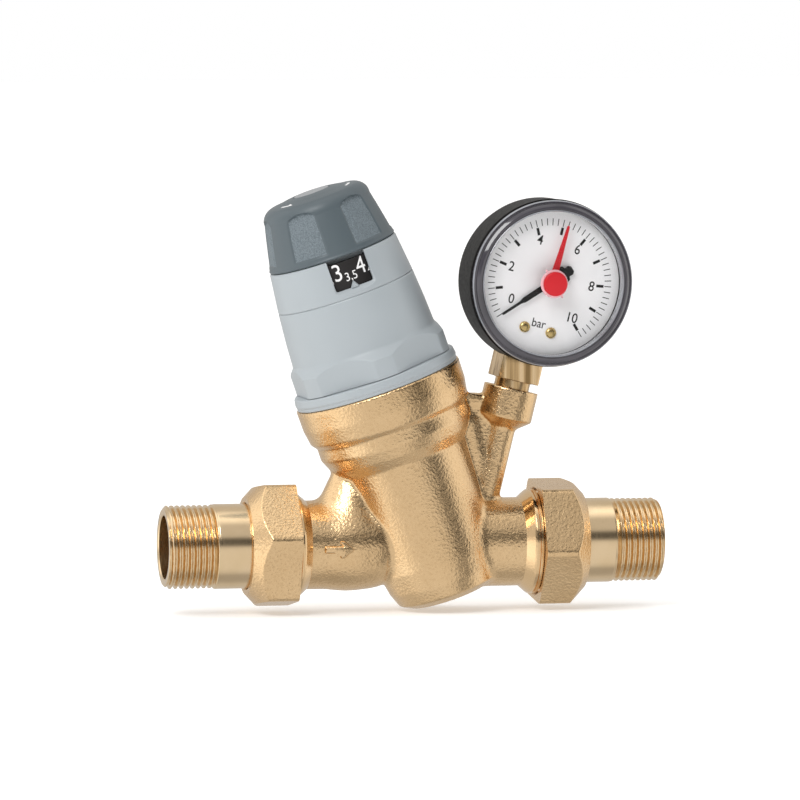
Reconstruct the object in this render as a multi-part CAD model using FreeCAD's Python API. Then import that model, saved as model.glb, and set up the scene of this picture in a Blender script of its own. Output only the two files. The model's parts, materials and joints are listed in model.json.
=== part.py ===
import FreeCAD, Part
import math
import os

from FreeCAD import Placement, Rotation, Vector

# Inline pressure reducing valve, DN20, with union ends and a pressure gauge.
# Millimetres. The origin is the centre of the inlet end face, +X is the flow
# direction and +Z is up. The cartridge axis leans back over the inlet.

# ---- driving dimensions: pipe line -----------------------------------------
END_TO_END = 160.0
MID_X = END_TO_END / 2
THREAD_R = 13.22            # R 3/4: 26.44 mm over the crests
THREAD_PITCH = 1.814
THREAD_DEPTH = 1.16
THREAD_X = (1.0, 15.0)      # crests at full size
THREAD_LEAD = 1.5           # extra helix before the first crest
THREAD_GROOVE = (0.62, 0.12)   # half widths of the groove, at crest and root
PIPE_BORE_R = 10.1
TAIL_R = 13.45
TAIL_FLANGE_R = 16.1
TAIL_FLANGE_X = (29.9, 33.4)
GASKET_R = (10.4, 15.6)
BODY_END_X = 35.4           # end face of the body's union thread
UNION_THREAD_R = 16.6       # G 1 male thread on the body
COLLAR_LENGTH = 7.1
COLLAR_FLARE = 2.0
STUB_R = 14.1

# ---- union nuts -------------------------------------------------------------
NUT_FLATS = 37.0
NUT_X = {"inlet": (26.2, 41.3), "outlet": (24.9, 40.2)}
NUT_CONE = 0.95              # fall of the outer chamfer per mm of radius
NUT_BORE_R = 13.6
NUT_THREAD_R = 16.68
NUT_THREAD_X = 29.7
NUT_END_R = 15.4
NUT_FACE_R = 20.2
NUT_TURN = {"inlet": 9.2, "outlet": -6.6}   # corner angle above the front, degrees

# ---- cartridge axis: heights along it start at the pipe axis ----------------
AXIS_X = MID_X + 6.55
AXIS_LEAN = 19.15
CUP_RIM_H = 53.6
CUP_R = 27.1
CUP_BORE_R = 24.0
CUP_FLOOR_H = 43.5
BAND_R = 24.7
BARREL_BOTTOM_H = -17.7
CHAMBER_R = 17.6            # inlet chamber around the strainer
CHAMBER_H = (12.0, 43.5)
SEAT_WALL_H = (6.0, 12.0)
SEAT_BORE_R = 14.2
OUTLET_CHAMBER_R = 15.0
OUTLET_CHAMBER_H = (-13.8, 6.0)
LOBE_NOSE = Vector(65.0, 0, 0)   # round end of the inlet stub
LOBE_FOOT = Vector(59.0, 0, 0)   # swelling that carries the inlet passage upwards
LOBE_HEAD = Vector(61.6, 0, 24.0)
LOBE_FOOT_R = 14.0
LOBE_HEAD_R = 6.0

# ---- gauge port --------------------------------------------------------------
BOSS_TOP = Vector(112.4, 0, 49.0)
GAUGE_LEAN = 13.7
GAUGE_YAW = 4.5
BOSS_R = 8.7
BOSS_LENGTH = 9.0
DUCT_R = 4.6
DUCT_BORE_R = 1.6
GAUGE_THREAD_R = 6.55       # G 1/4
GAUGE_THREAD_LENGTH = 7.0
WEB_THICKNESS = 3.2

# ---- cartridge inside the body -------------------------------------------------
CAGE_R = 17.3
CAGE_BORE_R = 14.9
CAGE_FLANGE_R = 23.7
CAGE_FLANGE_H = (43.5, 45.5)
CAGE_WINDOW_H = (14.5, 28.5)
CAGE_RIBS = 6
CAGE_RIB_ANGLE = 14.0
SPIGOT_R = 13.9
SPIGOT_H = (6.2, 12.4)
SEAT_R = 8.5
SEAT_H = (3.2, 6.2)
PISTON_R = 8.6
PISTON_BORE_R = 8.66
PISTON_H = (31.6, 35.6)
STEM_R = 3.0
STEM_DRILLING_R = 1.0
PLUG_R = 11.2
PLUG_LIFT = 2.5
DIAPHRAGM_H = (45.5, 46.7)
PLATE_R = 13.6
RING_SECTION = 1.8

# ---- bonnet, drum and knob ---------------------------------------------------
BONNET_LIP_R = 26.6
FLANGE_H = 57.8
HEX_FLATS = 48.0
HEX_CORNER_R = 26.0
COVER_TOP_H = 85.0
RING_TOP_H = 97.9
SKIRT_H = 47.7
WINDOW_ANGLE = 17.5         # half the opening
WINDOW_H = 86.0
DRUM_R = (18.2, 20.0)
DRUM_H = (71.6, 96.5)
DEGREES_PER_BAR = 22.5
SCREW_LEAD = 2.0            # one knob turn moves the carrier this far: 1 bar
SETTING_TURNS = 2.5         # turns each way from the middle of the scale
SCREW_R = 5.0
CARRIER_H = (77.0, 80.0)
CARRIER_R = 17.2
PIN_R = 1.0
PIN_H = 78.5
SLOT_HALF_WIDTH = 1.35
KNOB_H = 98.1
KNOB_TOP_H = 118.8
KNOB_FACETS = 6
SPRING_WIRE_R = 1.6
SPRING_MEAN_R = 12.3
SPRING_TURNS = 5.5
SPRING_H = (48.9, 77.0)

# ---- gauge: f is the distance in front of the stem axis ----------------------
GAUGE_CENTRE = 35.35         # above the boss
CASE_R = 26.65
CASE_WALL = 1.5
CASE_BACK_F = -9.5
CASE_FRONT_F = 15.4
WINDOW_FRONT_F = 18.7
BLOCK_HALF = 6.8
BLOCK_H = (2.5, 8.0)
DIAL_F = (13.2, 13.8)
DIAL_R = 23.1
POINTER_F = (14.7, 15.2)
SET_HAND_F = (15.9, 16.4)
SET_CAP_F = 20.9
SET_READING = 5.25          # bar shown by the red hand
SCALE_TOP = 10.0
SCALE_SWEEP = 270.0
POINTER_R = 18.6
DIAL_SCREW_X = 4.3
DIAL_SCREW_H = 19.2         # above the boss
TUBE_MEAN_R = 19.0
TUBE_R = 2.0
TUBE_F = -3.0
TUBE_START_ANGLE = -80.0
TUBE_TIP_ANGLE = 170.0
GEAR_MODULE = 0.4
PINION_TEETH = 8
SECTOR_TEETH = 64
GEAR_F = (4.4, 5.6)
SECTOR_DISTANCE = GEAR_MODULE * (PINION_TEETH + SECTOR_TEETH) / 2
SECTOR_SWEEP = SCALE_SWEEP * PINION_TEETH / SECTOR_TEETH

Z_AXIS = Vector(0, 0, 1)
CARTRIDGE = Placement(Vector(AXIS_X, 0, 0), Rotation(Vector(0, 1, 0), -AXIS_LEAN))
GAUGE_STEM = Placement(BOSS_TOP, Rotation(Vector(0, 1, 0), GAUGE_LEAN)).multiply(
    Placement(Vector(), Rotation(Z_AXIS, GAUGE_YAW)))
# The dial frame has its z axis pointing out of the dial and its y axis up the stem.
DIAL = GAUGE_STEM.multiply(
    Placement(Vector(0, 0, GAUGE_CENTRE), Rotation(Vector(1, 0, 0), 90)))
INLET = Placement(Vector(), Rotation(Vector(0, 1, 0), 90))
OUTLET = Placement(Vector(END_TO_END, 0, 0), Rotation(Vector(0, 1, 0), -90))


# ---- shape helpers -------------------------------------------------------------
def polygon(points):
    """A closed flat face through the points."""
    return Part.Face(Part.makePolygon(list(points) + [points[0]]))


def turned(profile):
    """A solid of revolution about Z from closed (radius, height) points."""
    face = polygon([Vector(r, 0, h) for r, h in profile])
    return face.revolve(Vector(), Z_AXIS, 360)


def disc(radius, low, high):
    return Part.makeCylinder(radius, high - low, Vector(0, 0, low))


def ring(inner, outer, low, high):
    return disc(outer, low, high).cut(disc(inner, low, high))


def prism(points, low, high):
    """Flat (x, y) points pushed up from one height to another."""
    return polygon([Vector(x, y, low) for x, y in points]).extrude(Vector(0, 0, high - low))


def polar(radius, degrees):
    angle = math.radians(degrees)
    return radius * math.cos(angle), radius * math.sin(angle)


def hexagon(across_flats, corner_angle, low, high):
    corner_r = across_flats / math.sqrt(3)
    return prism([polar(corner_r, corner_angle + 60 * i) for i in range(6)], low, high)


def wedge(half_angle, radius, centre_angle, low, high):
    """A pie slice used to cut windows in round walls."""
    edge = radius / math.cos(math.radians(half_angle))
    return prism([(0, 0), polar(edge, centre_angle - half_angle),
                  polar(edge, centre_angle + half_angle)], low, high)


def turned_about(shape, degrees):
    """A copy of the shape turned about Z."""
    copy = shape.copy()
    copy.rotate(Vector(), Z_AXIS, degrees)
    return copy


def around(shape, count, start=0.0):
    """Copies of the shape spaced evenly about Z."""
    return [turned_about(shape, start + 360.0 / count * i) for i in range(count)]


def torus_ring(mean_r, height, section_r=RING_SECTION / 2):
    return Part.makeTorus(mean_r, section_r, Vector(0, 0, height))


def fused(shapes):
    result = shapes[0].multiFuse(shapes[1:]) if len(shapes) > 1 else shapes[0]
    return result.removeSplitter()


def placed(shape, placement):
    copy = shape.copy()
    copy.Placement = placement.multiply(copy.Placement)
    return copy


def save(name, shape):
    if shape.ShapeType != "Solid" and len(shape.Solids) == 1:
        shape = shape.Solids[0]
    assert shape.isValid() and shape.Volume > 0, name
    shape.exportStep(f"parts/{name}.step")
    print(f"{name:22s} solids {len(shape.Solids)}  volume {shape.Volume:10.1f}")


def save_all(pieces, placement):
    for name, shape in pieces.items():
        save(name, placed(shape, placement))


# ---- union ends: heights run inwards from the end face ---------------------------
def thread_groove():
    """Right-hand helical groove that leaves the crests of the pipe thread."""
    start, end = THREAD_X
    crest, root = THREAD_GROOVE
    over_r, root_r = THREAD_R + 0.1, THREAD_R - THREAD_DEPTH
    outline = [Vector(over_r, 0, -crest), Vector(over_r, 0, crest), Vector(root_r, 0, root),
               Vector(root_r, 0, -root)]
    section = Part.Wire(Part.makePolygon(outline + outline[:1]))
    helix = Part.makeLongHelix(THREAD_PITCH, end - start + THREAD_LEAD - 0.4, THREAD_R)
    groove = Part.Wire(helix.Edges).makePipeShell([section], True, True)
    if groove.Volume < 0:
        groove.reverse()
    groove.translate(Vector(0, 0, start - THREAD_LEAD))
    groove.rotate(Vector(), Z_AXIS, 37)
    return groove


def union_tail():
    flange_start, flange_end = TAIL_FLANGE_X
    blank = turned([(PIPE_BORE_R + 0.35, 0), (THREAD_R - THREAD_X[0], 0), (THREAD_R, THREAD_X[0]),
                    (THREAD_R, THREAD_X[1]), (TAIL_R, THREAD_X[1] + 0.3),
                    (TAIL_R, flange_start - 2.2), (TAIL_FLANGE_R, flange_start - 0.2),
                    (TAIL_FLANGE_R, flange_end), (PIPE_BORE_R, flange_end), (PIPE_BORE_R, 0.35)])
    return blank.cut(thread_groove())


def union_nut(side, corner_angle):
    outer_end, face = NUT_X[side]
    corner_r = NUT_FLATS / math.sqrt(3)
    blank = hexagon(NUT_FLATS, corner_angle, outer_end, face)
    chamfer_end = outer_end + (corner_r + 0.1 - NUT_END_R) * NUT_CONE
    envelope = turned([(0, outer_end), (NUT_END_R, outer_end), (corner_r + 0.1, chamfer_end),
                       (corner_r + 0.1, face - 0.7), (NUT_FACE_R, face), (0, face)])
    hollow = turned([(0, outer_end - 1), (NUT_BORE_R, outer_end - 1),
                     (NUT_BORE_R, NUT_THREAD_X - 2.2), (NUT_THREAD_R, NUT_THREAD_X),
                     (NUT_THREAD_R, face - 0.4), (NUT_THREAD_R + 0.45, face + 0.05),
                     (NUT_THREAD_R + 0.45, face + 1), (0, face + 1)])
    return blank.common(envelope).cut(hollow)


def union_gasket():
    return ring(GASKET_R[0], GASKET_R[1], TAIL_FLANGE_X[1], BODY_END_X)


def build_unions():
    # Both end frames keep the row's Y; their x axis points down at the inlet, up at the outlet.
    for side, placement, upward in (("inlet", INLET, -1), ("outlet", OUTLET, 1)):
        save_all({f"{side}_tail": union_tail(),
                  f"{side}_nut": union_nut(side, -90 + upward * NUT_TURN[side]),
                  f"{side}_gasket": union_gasket()}, placement)


# ---- cast body -------------------------------------------------------------------
def end_stub(length):
    """Pipe stub with its union thread collar, inwards from the end face."""
    collar_end = BODY_END_X + COLLAR_LENGTH
    return turned([(0, BODY_END_X), (UNION_THREAD_R - 0.8, BODY_END_X),
                   (UNION_THREAD_R, BODY_END_X + 0.8), (UNION_THREAD_R, collar_end),
                   (STUB_R, collar_end + COLLAR_FLARE), (STUB_R, length), (0, length)])


def barrel_and_cup():
    bottom = BARREL_BOTTOM_H
    return turned([(0, bottom), (13.2, bottom), (15.6, bottom + 0.9), (17.2, bottom + 3.2),
                   (18.0, bottom + 6.5), (19.2, -5), (20.5, 29), (23.0, 32.6),
                   (BAND_R, 36.3), (BAND_R, 40.4), (26.2, 42.4), (27.0, 47.0),
                   (CUP_R, CUP_RIM_H), (0, CUP_RIM_H)])


def inlet_lobe():
    """Round swelling that leads the inlet passage up to the strainer chamber."""
    rise = LOBE_HEAD - LOBE_FOOT
    cone = Part.makeCone(LOBE_FOOT_R, LOBE_HEAD_R, rise.Length, LOBE_FOOT, rise)
    head = Part.makeSphere(LOBE_HEAD_R, LOBE_HEAD)
    nose = Part.makeSphere(STUB_R, LOBE_NOSE)
    return cone.fuse(head).fuse(nose)


def gauge_boss():
    """Boss, duct and web that carry the gauge, in the row frame."""
    boss = turned([(0, -BOSS_LENGTH - 2.5), (5.6, -BOSS_LENGTH - 2.5), (BOSS_R, -BOSS_LENGTH),
                   (BOSS_R, 0), (0, 0)])
    duct = disc(DUCT_R, -40, -BOSS_LENGTH)
    stem = Placement(BOSS_TOP, Rotation(Vector(0, 1, 0), GAUGE_LEAN))
    half = WEB_THICKNESS / 2
    outline = [(84.0, 48.0), (105.5, 45.0), (108.0, 14.0), (92.0, 8.0)]
    web = polygon([Vector(x, -half, z) for x, z in outline]).extrude(
        Vector(0, WEB_THICKNESS, 0))
    return [placed(boss, stem), placed(duct, stem), web]


def flow_arrow():
    """Raised arrow on the front of the inlet stub, pointing along the flow."""
    tip, neck, tail = 57.0, 53.6, 48.2
    outline = [(tail, -0.55), (neck, -0.55), (neck, -2.2), (tip, 0), (neck, 2.2),
               (neck, 0.55), (tail, 0.55)]
    blank = polygon([Vector(x, -20, z - 0.3) for x, z in outline]).extrude(Vector(0, 14, 0))
    cover = Part.makeCylinder(STUB_R + 0.45, 20, Vector(44, 0, 0), Vector(1, 0, 0))
    return blank.common(cover)


def body_hollows():
    """Everything machined or cored out of the casting."""
    chamber = turned([(0, CUP_RIM_H + 1), (CUP_BORE_R + 0.8, CUP_RIM_H + 1),
                      (CUP_BORE_R + 0.8, CUP_RIM_H), (CUP_BORE_R, CUP_RIM_H - 1),
                      (CUP_BORE_R, CUP_FLOOR_H), (CHAMBER_R, CHAMBER_H[1]),
                      (CHAMBER_R, CHAMBER_H[0]), (SEAT_BORE_R, CHAMBER_H[0]),
                      (SEAT_BORE_R, SEAT_WALL_H[0]), (OUTLET_CHAMBER_R, SEAT_WALL_H[0]),
                      (OUTLET_CHAMBER_R, -8.0), (10.0, OUTLET_CHAMBER_H[0]),
                      (0, OUTLET_CHAMBER_H[0])])
    along = Vector(1, 0, 0)
    passage_foot = Vector(53, 0, 0.5)
    passage_rise = Vector(15.5, 0, 16.5)
    inlet = Part.makeCylinder(9.5, 19, Vector(BODY_END_X - 1, 0, 0), along)
    inlet_turn = Part.makeSphere(9.5, Vector(BODY_END_X + 18, 0, 0))
    passage = Part.makeCone(8.6, 6.4, passage_rise.Length, passage_foot, passage_rise)
    outlet = Part.makeCylinder(9.5, 40, Vector(END_TO_END - BODY_END_X + 1, 0, 0), -along)
    stem = Placement(BOSS_TOP, Rotation(Vector(0, 1, 0), GAUGE_LEAN))
    port = turned([(0, 1), (GAUGE_THREAD_R + 0.7, 1), (GAUGE_THREAD_R + 0.7, 0),
                   (GAUGE_THREAD_R + 0.05, -0.7), (GAUGE_THREAD_R + 0.05, -8.5),
                   (DUCT_BORE_R, -9.5), (DUCT_BORE_R, -46), (0, -46)])
    return [placed(chamber, CARTRIDGE), inlet, inlet_turn, passage, outlet, placed(port, stem)]


def valve_body():
    inlet_stub = placed(end_stub(66.0), INLET)
    outlet_stub = placed(end_stub(66.0), OUTLET)
    casting = fused([placed(barrel_and_cup(), CARTRIDGE), inlet_stub, outlet_stub,
                     inlet_lobe(), flow_arrow()] + gauge_boss())
    for hollow in body_hollows():
        casting = casting.cut(hollow)
    return casting.removeSplitter()


# ---- cartridge ---------------------------------------------------------------------
def cartridge_cage():
    """Moulded cage: flange, strainer windows, piston guide and seat spigot."""
    low, high = CAGE_WINDOW_H
    shell = turned([(CAGE_BORE_R, 12.4), (CAGE_R - 0.9, 12.4), (CAGE_R - 0.9, 30.0),
                    (CAGE_R, 30.0), (CAGE_R, CAGE_FLANGE_H[0]),
                    (CAGE_FLANGE_R, CAGE_FLANGE_H[0]), (CAGE_FLANGE_R, CAGE_FLANGE_H[1]),
                    (CAGE_BORE_R, CAGE_FLANGE_H[1])])
    window_angle = 180.0 / CAGE_RIBS - CAGE_RIB_ANGLE / 2
    window = wedge(window_angle, CAGE_R + 4, 0, low, high)
    for cutter in around(window, CAGE_RIBS):
        shell = shell.cut(cutter)
    upper_groove = ring(CAGE_R - 1.5, CAGE_R + 1, 32.6, 35.4)
    guide = ring(PISTON_BORE_R, PISTON_BORE_R + 1.6, 29.0, 39.0)
    deck = ring(PISTON_BORE_R + 1.0, CAGE_BORE_R + 0.6, 36.8, 39.0)
    spigot = ring(11.0, SPIGOT_R, SPIGOT_H[0], SPIGOT_H[1] + 2.0)
    lower_groove = ring(SPIGOT_R - 1.5, SPIGOT_R + 1, 7.6, 10.4)
    foot = ring(11.0, CAGE_R - 0.9, SPIGOT_H[1], SPIGOT_H[1] + 2.0)
    return fused([shell, guide, deck, spigot, foot]).cut(upper_groove).cut(lower_groove)


def strainer():
    """Woven sleeve around the cage windows."""
    sleeve = ring(CAGE_R - 0.8, CAGE_R - 0.3, 13.0, 29.8)
    slot = wedge(3.0, CAGE_R + 4, 0, 0, 1.2)
    for level in range(4):
        for cutter in around(slot, 24, 7.5 * (level % 2)):
            cutter.translate(Vector(0, 0, 16.0 + 3.4 * level))
            sleeve = sleeve.cut(cutter)
    return sleeve


def valve_seat():
    return turned([(SEAT_R, SEAT_H[0]), (SEAT_R + 1.0, SEAT_H[0]), (SEAT_R + 1.4, SEAT_H[0] + 0.6),
                   (SPIGOT_R - 0.3, SEAT_H[0] + 0.6), (SPIGOT_R - 0.3, SEAT_H[1]),
                   (10.9, SEAT_H[1]), (10.9, SEAT_H[1] + 6.0), (SEAT_R, SEAT_H[1] + 6.0)])


def plug_pieces():
    """What moves with the stem: plug, seals, piston, stem and diaphragm plates."""
    seal_top = SEAT_H[0] - PLUG_LIFT
    seal_low = seal_top - 2.0
    plug = turned([(STEM_R, seal_low - 3.0), (PLUG_R - 1.0, seal_low - 3.0),
                   (PLUG_R, seal_low - 2.0), (PLUG_R, seal_top - 0.6), (PLUG_R - 0.4, seal_top - 0.6),
                   (PLUG_R - 0.4, seal_low), (STEM_R, seal_low)])
    seal = ring(STEM_R, PLUG_R - 0.4, seal_low, seal_top)
    washer = ring(STEM_R, 6.0, seal_top, seal_top + 1.2)
    spacer = ring(STEM_R, STEM_R + 1.5, seal_top + 1.2, PISTON_H[0])
    piston = ring(STEM_R, PISTON_R, PISTON_H[0], PISTON_H[1]).cut(
        ring(PISTON_R - 1.2, PISTON_R + 1, 32.5, 34.7))
    piston_seal = ring(PISTON_R - 1.2, PISTON_R, 32.5, 34.7)
    upper_spacer = ring(STEM_R, STEM_R + 1.5, PISTON_H[1], 44.3)
    stem_foot = seal_low - 3.0
    stem = turned([(STEM_DRILLING_R, stem_foot - 1.5), (5.2, stem_foot - 1.5), (5.2, stem_foot),
                   (STEM_R, stem_foot), (STEM_R, 53.4), (2.4, 54.0), (0, 54.0), (0, 41.0),
                   (STEM_DRILLING_R, 41.0)])
    stem = stem.cut(Part.makeCylinder(STEM_DRILLING_R, 12, Vector(0, 0, 42.4), Vector(1, 0, 0)))
    upper_spacer = upper_spacer.cut(
        Part.makeCylinder(STEM_DRILLING_R, 12, Vector(0, 0, 42.4), Vector(1, 0, 0)))
    lower_plate = turned([(STEM_R, 44.3), (PLATE_R - 1.0, 44.3), (PLATE_R, 44.8),
                          (PLATE_R, DIAPHRAGM_H[0]), (STEM_R, DIAPHRAGM_H[0])])
    upper_plate = turned([(STEM_R, DIAPHRAGM_H[1]), (PLATE_R, DIAPHRAGM_H[1]),
                          (PLATE_R, DIAPHRAGM_H[1] + 1.0), (PLATE_R + 1.4, DIAPHRAGM_H[1] + 1.0),
                          (PLATE_R + 1.4, SPRING_H[0] + 1.6), (PLATE_R + 0.4, SPRING_H[0] + 1.6),
                          (PLATE_R + 0.4, SPRING_H[0]), (STEM_R, SPRING_H[0])])
    nut = hexagon(10.0, 0, SPRING_H[0], SPRING_H[0] + 3.6).cut(
        disc(STEM_R, SPRING_H[0] - 1, SPRING_H[0] + 5))
    return {"plug": plug, "plug_seal": seal, "seal_washer": washer, "stem_sleeve": spacer,
            "balance_piston": piston, "piston_seal": piston_seal,
            "upper_sleeve": upper_spacer, "stem": stem, "lower_plate": lower_plate,
            "spring_plate": upper_plate, "stem_nut": nut}


def diaphragm():
    """Rubber disc with one rolled convolution between plates and clamped rim."""
    low, high = DIAPHRAGM_H
    roll_in, roll_out = PLATE_R + 1.9, CUP_BORE_R - 3.2
    mid = (roll_in + roll_out) / 2
    rise = 1.1
    return turned([(STEM_R + 0.05, low), (roll_in, low), (mid - 0.7, low + rise),
                   (mid + 0.7, low + rise), (roll_out, low), (CAGE_FLANGE_R, low),
                   (CAGE_FLANGE_R, high), (roll_out, high), (mid + 1.2, high + rise),
                   (mid - 1.2, high + rise), (roll_in, high), (STEM_R + 0.05, high)])


def slip_ring():
    return ring(CUP_BORE_R - 3.0, CAGE_FLANGE_R, DIAPHRAGM_H[1], SKIRT_H)


def range_spring():
    """Helical spring with ground ends between the spring plate and the carrier."""
    low, high = SPRING_H[0] + SPRING_WIRE_R, SPRING_H[1] - SPRING_WIRE_R
    pitch = (high - low) / SPRING_TURNS
    path = Part.makeHelix(pitch, high - low, SPRING_MEAN_R)
    section = Part.Wire(Part.makeCircle(SPRING_WIRE_R, Vector(SPRING_MEAN_R, 0, 0), Vector(0, 1, 0)))
    coil = Part.Wire(path).makePipeShell([section], True, True)
    coil.translate(Vector(0, 0, low))
    ends = [torus_ring(SPRING_MEAN_R, height, SPRING_WIRE_R - 0.05) for height in (low, high)]
    return coil.fuse(ends[0]).fuse(ends[1])


# ---- bonnet and knob -----------------------------------------------------------------
def bonnet_cover():
    """Grey cover with its wrench hexagon; its threaded skirt clamps the diaphragm."""
    skirt = turned([(CUP_BORE_R - 2.4, SKIRT_H), (CUP_BORE_R, SKIRT_H), (CUP_BORE_R, CUP_RIM_H),
                    (BONNET_LIP_R, CUP_RIM_H), (BONNET_LIP_R, 55.0), (26.8, 55.2),
                    (26.5, FLANGE_H), (23.8, FLANGE_H + 0.2), (23.7, 66.0), (23.55, 68.0),
                    (23.2, 75.0), (22.4, COVER_TOP_H), (20.6, COVER_TOP_H), (20.6, 60.0),
                    (CUP_BORE_R - 2.4, 56.0)])
    envelope = turned([(20.7, FLANGE_H - 0.5), (HEX_CORNER_R, FLANGE_H - 0.5),
                       (HEX_CORNER_R, 64.4), (23.4, 67.5), (20.7, 67.5)])
    wrench = hexagon(HEX_FLATS, -90, FLANGE_H - 0.5, 67.5).common(envelope)
    keyway = Part.makeBox(2 * PIN_R + 0.8, 2.4, 15, Vector(-PIN_R - 0.4, 19.2, 71.2))
    return fused([skirt, wrench]).cut(keyway)


def indicator_ring():
    """Upper ring with the pressure window, its pointer and the thrust plate."""
    wall = turned([(20.5, COVER_TOP_H), (22.36, COVER_TOP_H), (20.8, RING_TOP_H),
                   (SCREW_R + 0.3, RING_TOP_H), (SCREW_R + 0.3, 95.6), (17.9, 95.6),
                   (17.9, 96.9), (20.0 + 0.3, 96.9), (20.3, 96.0)])
    opening = wedge(WINDOW_ANGLE, 24, -90, WINDOW_H, RING_TOP_H + 1)
    border = wedge(WINDOW_ANGLE + 5.5, 24, -90, WINDOW_H - 1.4, RING_TOP_H + 1).cut(
        disc(21.0, WINDOW_H - 4, RING_TOP_H + 2))
    keep = disc(18.1, WINDOW_H - 1, RING_TOP_H + 2)
    pointer = polygon([Vector(-1.5, -20.4, WINDOW_H - 0.6), Vector(1.5, -20.4, WINDOW_H - 0.6),
                       Vector(0, -20.4, WINDOW_H + 2.1)]).extrude(Vector(0, -0.9, 0))
    return fused([wall.cut(opening.cut(keep)).cut(border), pointer])


def pressure_drum():
    """Sleeve with the setting scale; the carrier pin turns it through a helical slot."""
    sleeve = ring(DRUM_R[0], DRUM_R[1], DRUM_H[0], DRUM_H[1])
    sweep = SETTING_TURNS * DEGREES_PER_BAR
    steps = 30
    margin = 1.5
    cutters = []
    for step in range(steps + 1):
        share = 2.0 * step / steps - 1.0
        # Where the pin is when the drum has turned; seen from the drum it goes the other way.
        angle = -share * (sweep + margin)
        height = PIN_H + share * (SETTING_TURNS * SCREW_LEAD + margin * 0.09)
        tool = Part.makeCylinder(SLOT_HALF_WIDTH, 6, Vector(0, 16, height), Vector(0, 1, 0))
        cutters.append(turned_about(tool, angle))
    return sleeve.cut(cutters[0].multiFuse(cutters[1:]))


def spring_carrier():
    low, high = CARRIER_H
    plate = turned([(SCREW_R + 0.06, low - 4.0), (8.6, low - 4.0), (8.6, low), (CARRIER_R, low),
                    (CARRIER_R, high), (8.6, high), (8.6, high + 2.6), (SCREW_R + 0.06, high + 2.6)])
    return plate.cut(Part.makeCylinder(PIN_R, 8, Vector(0, CARRIER_R - 5, PIN_H), Vector(0, 1, 0)))


def carrier_pin():
    return Part.makeCylinder(PIN_R, 9.0, Vector(0, CARRIER_R - 5, PIN_H), Vector(0, 1, 0))


def adjusting_screw():
    """Screw with a thrust collar and a squared head for the knob."""
    screw = turned([(0, 68.5), (SCREW_R - 0.8, 68.5), (SCREW_R, 69.3), (SCREW_R, 90.6),
                    (9.0, 90.6), (9.0, 94.4), (SCREW_R, 94.4), (SCREW_R, 99.5), (0, 99.5)])
    head = Part.makeBox(7, 7, 9.5, Vector(-3.5, -3.5, 99.0))
    thread_hole = disc(1.6, 98.0, 109.0)
    return fused([screw, head]).cut(thread_hole)


def thrust_washer():
    return ring(SCREW_R + 0.3, 9.4, 94.6, 95.4)


def knob_profile_radius(height):
    """Radius of the knob's lobes at a height."""
    points = [(98.1, 20.85), (99.0, 20.6), (105.0, 19.3), (110.0, 18.4), (113.5, 17.5)]
    for (low, r_low), (high, r_high) in zip(points, points[1:]):
        if height <= high:
            return r_low + (r_high - r_low) * (height - low) / (high - low)
    return points[-1][1]


def adjusting_knob():
    """Hollow lobed knob: a turned shell with flat grip facets."""
    levels = [KNOB_H, 99.0, 105.0, 110.0, 113.5]
    outer = [(knob_profile_radius(level), level) for level in levels]
    crown = [(17.0, 115.4), (15.8, 116.8), (13.6, 117.5), (6.0, KNOB_TOP_H), (0, KNOB_TOP_H)]
    blank = turned([(0, KNOB_H)] + outer + crown)
    for angle in [-90 + 30 + 60 * i for i in range(KNOB_FACETS)]:
        facet = Part.makeBox(6, 26, 13.2, Vector(0, -13, 0))
        facet.rotate(Vector(), Vector(0, 1, 0), -9.5)
        facet.translate(Vector(19.35, 0, 99.4))
        blank = blank.cut(turned_about(facet, angle))
    hollow = turned([(7.2, KNOB_H - 1), (16.6, KNOB_H - 1), (15.0, 112.6), (13.5, 114.4), (7.2, 114.6)])
    square = Part.makeBox(7.1, 7.1, 11.5, Vector(-3.55, -3.55, KNOB_H - 1))
    clearance = disc(SCREW_R + 0.3, KNOB_H - 1, 99.7)
    above = KNOB_TOP_H + 1.0
    screw_hole = disc(1.7, 108.0, above)
    counterbore = disc(3.4, 112.8, above)
    recess = disc(5.9, 116.4, above)
    knob = blank
    for tool in (hollow, square, clearance, screw_hole, counterbore, recess):
        knob = knob.cut(tool)
    return knob


def knob_screw():
    return fused([disc(3.1, 112.9, 115.4), disc(1.55, 101.0, 113.0)]).cut(
        Part.makeBox(6.4, 0.9, 1.0, Vector(-3.2, -0.45, 114.6)))


def knob_cap():
    edge_h = KNOB_TOP_H - 0.4
    return turned([(0, 115.6), (3.2, 115.6), (3.2, 116.45), (5.75, 116.45), (5.75, edge_h),
                   (5.3, edge_h + 0.3), (0, KNOB_TOP_H + 0.1)])


# ---- gauge: pieces in the dial frame ----------------------------------------------
def stem_foot():
    """Block inside the case that carries the tube and, above it, the movement."""
    lower = Part.makeBox(11.0, 8.4, 12.0, Vector(-5.5, -3.9, 14.0))
    upper = Part.makeBox(11.0, 5.0, 15.0, Vector(-5.5, -2.5, 25.5))
    return lower.fuse(upper)


def dial_posts():
    return [Part.makeCylinder(1.9, DIAL_F[0] - 3.7, Vector(x, -3.7, DIAL_SCREW_H), Vector(0, -1, 0))
            for x in (-DIAL_SCREW_X, DIAL_SCREW_X)]


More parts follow.
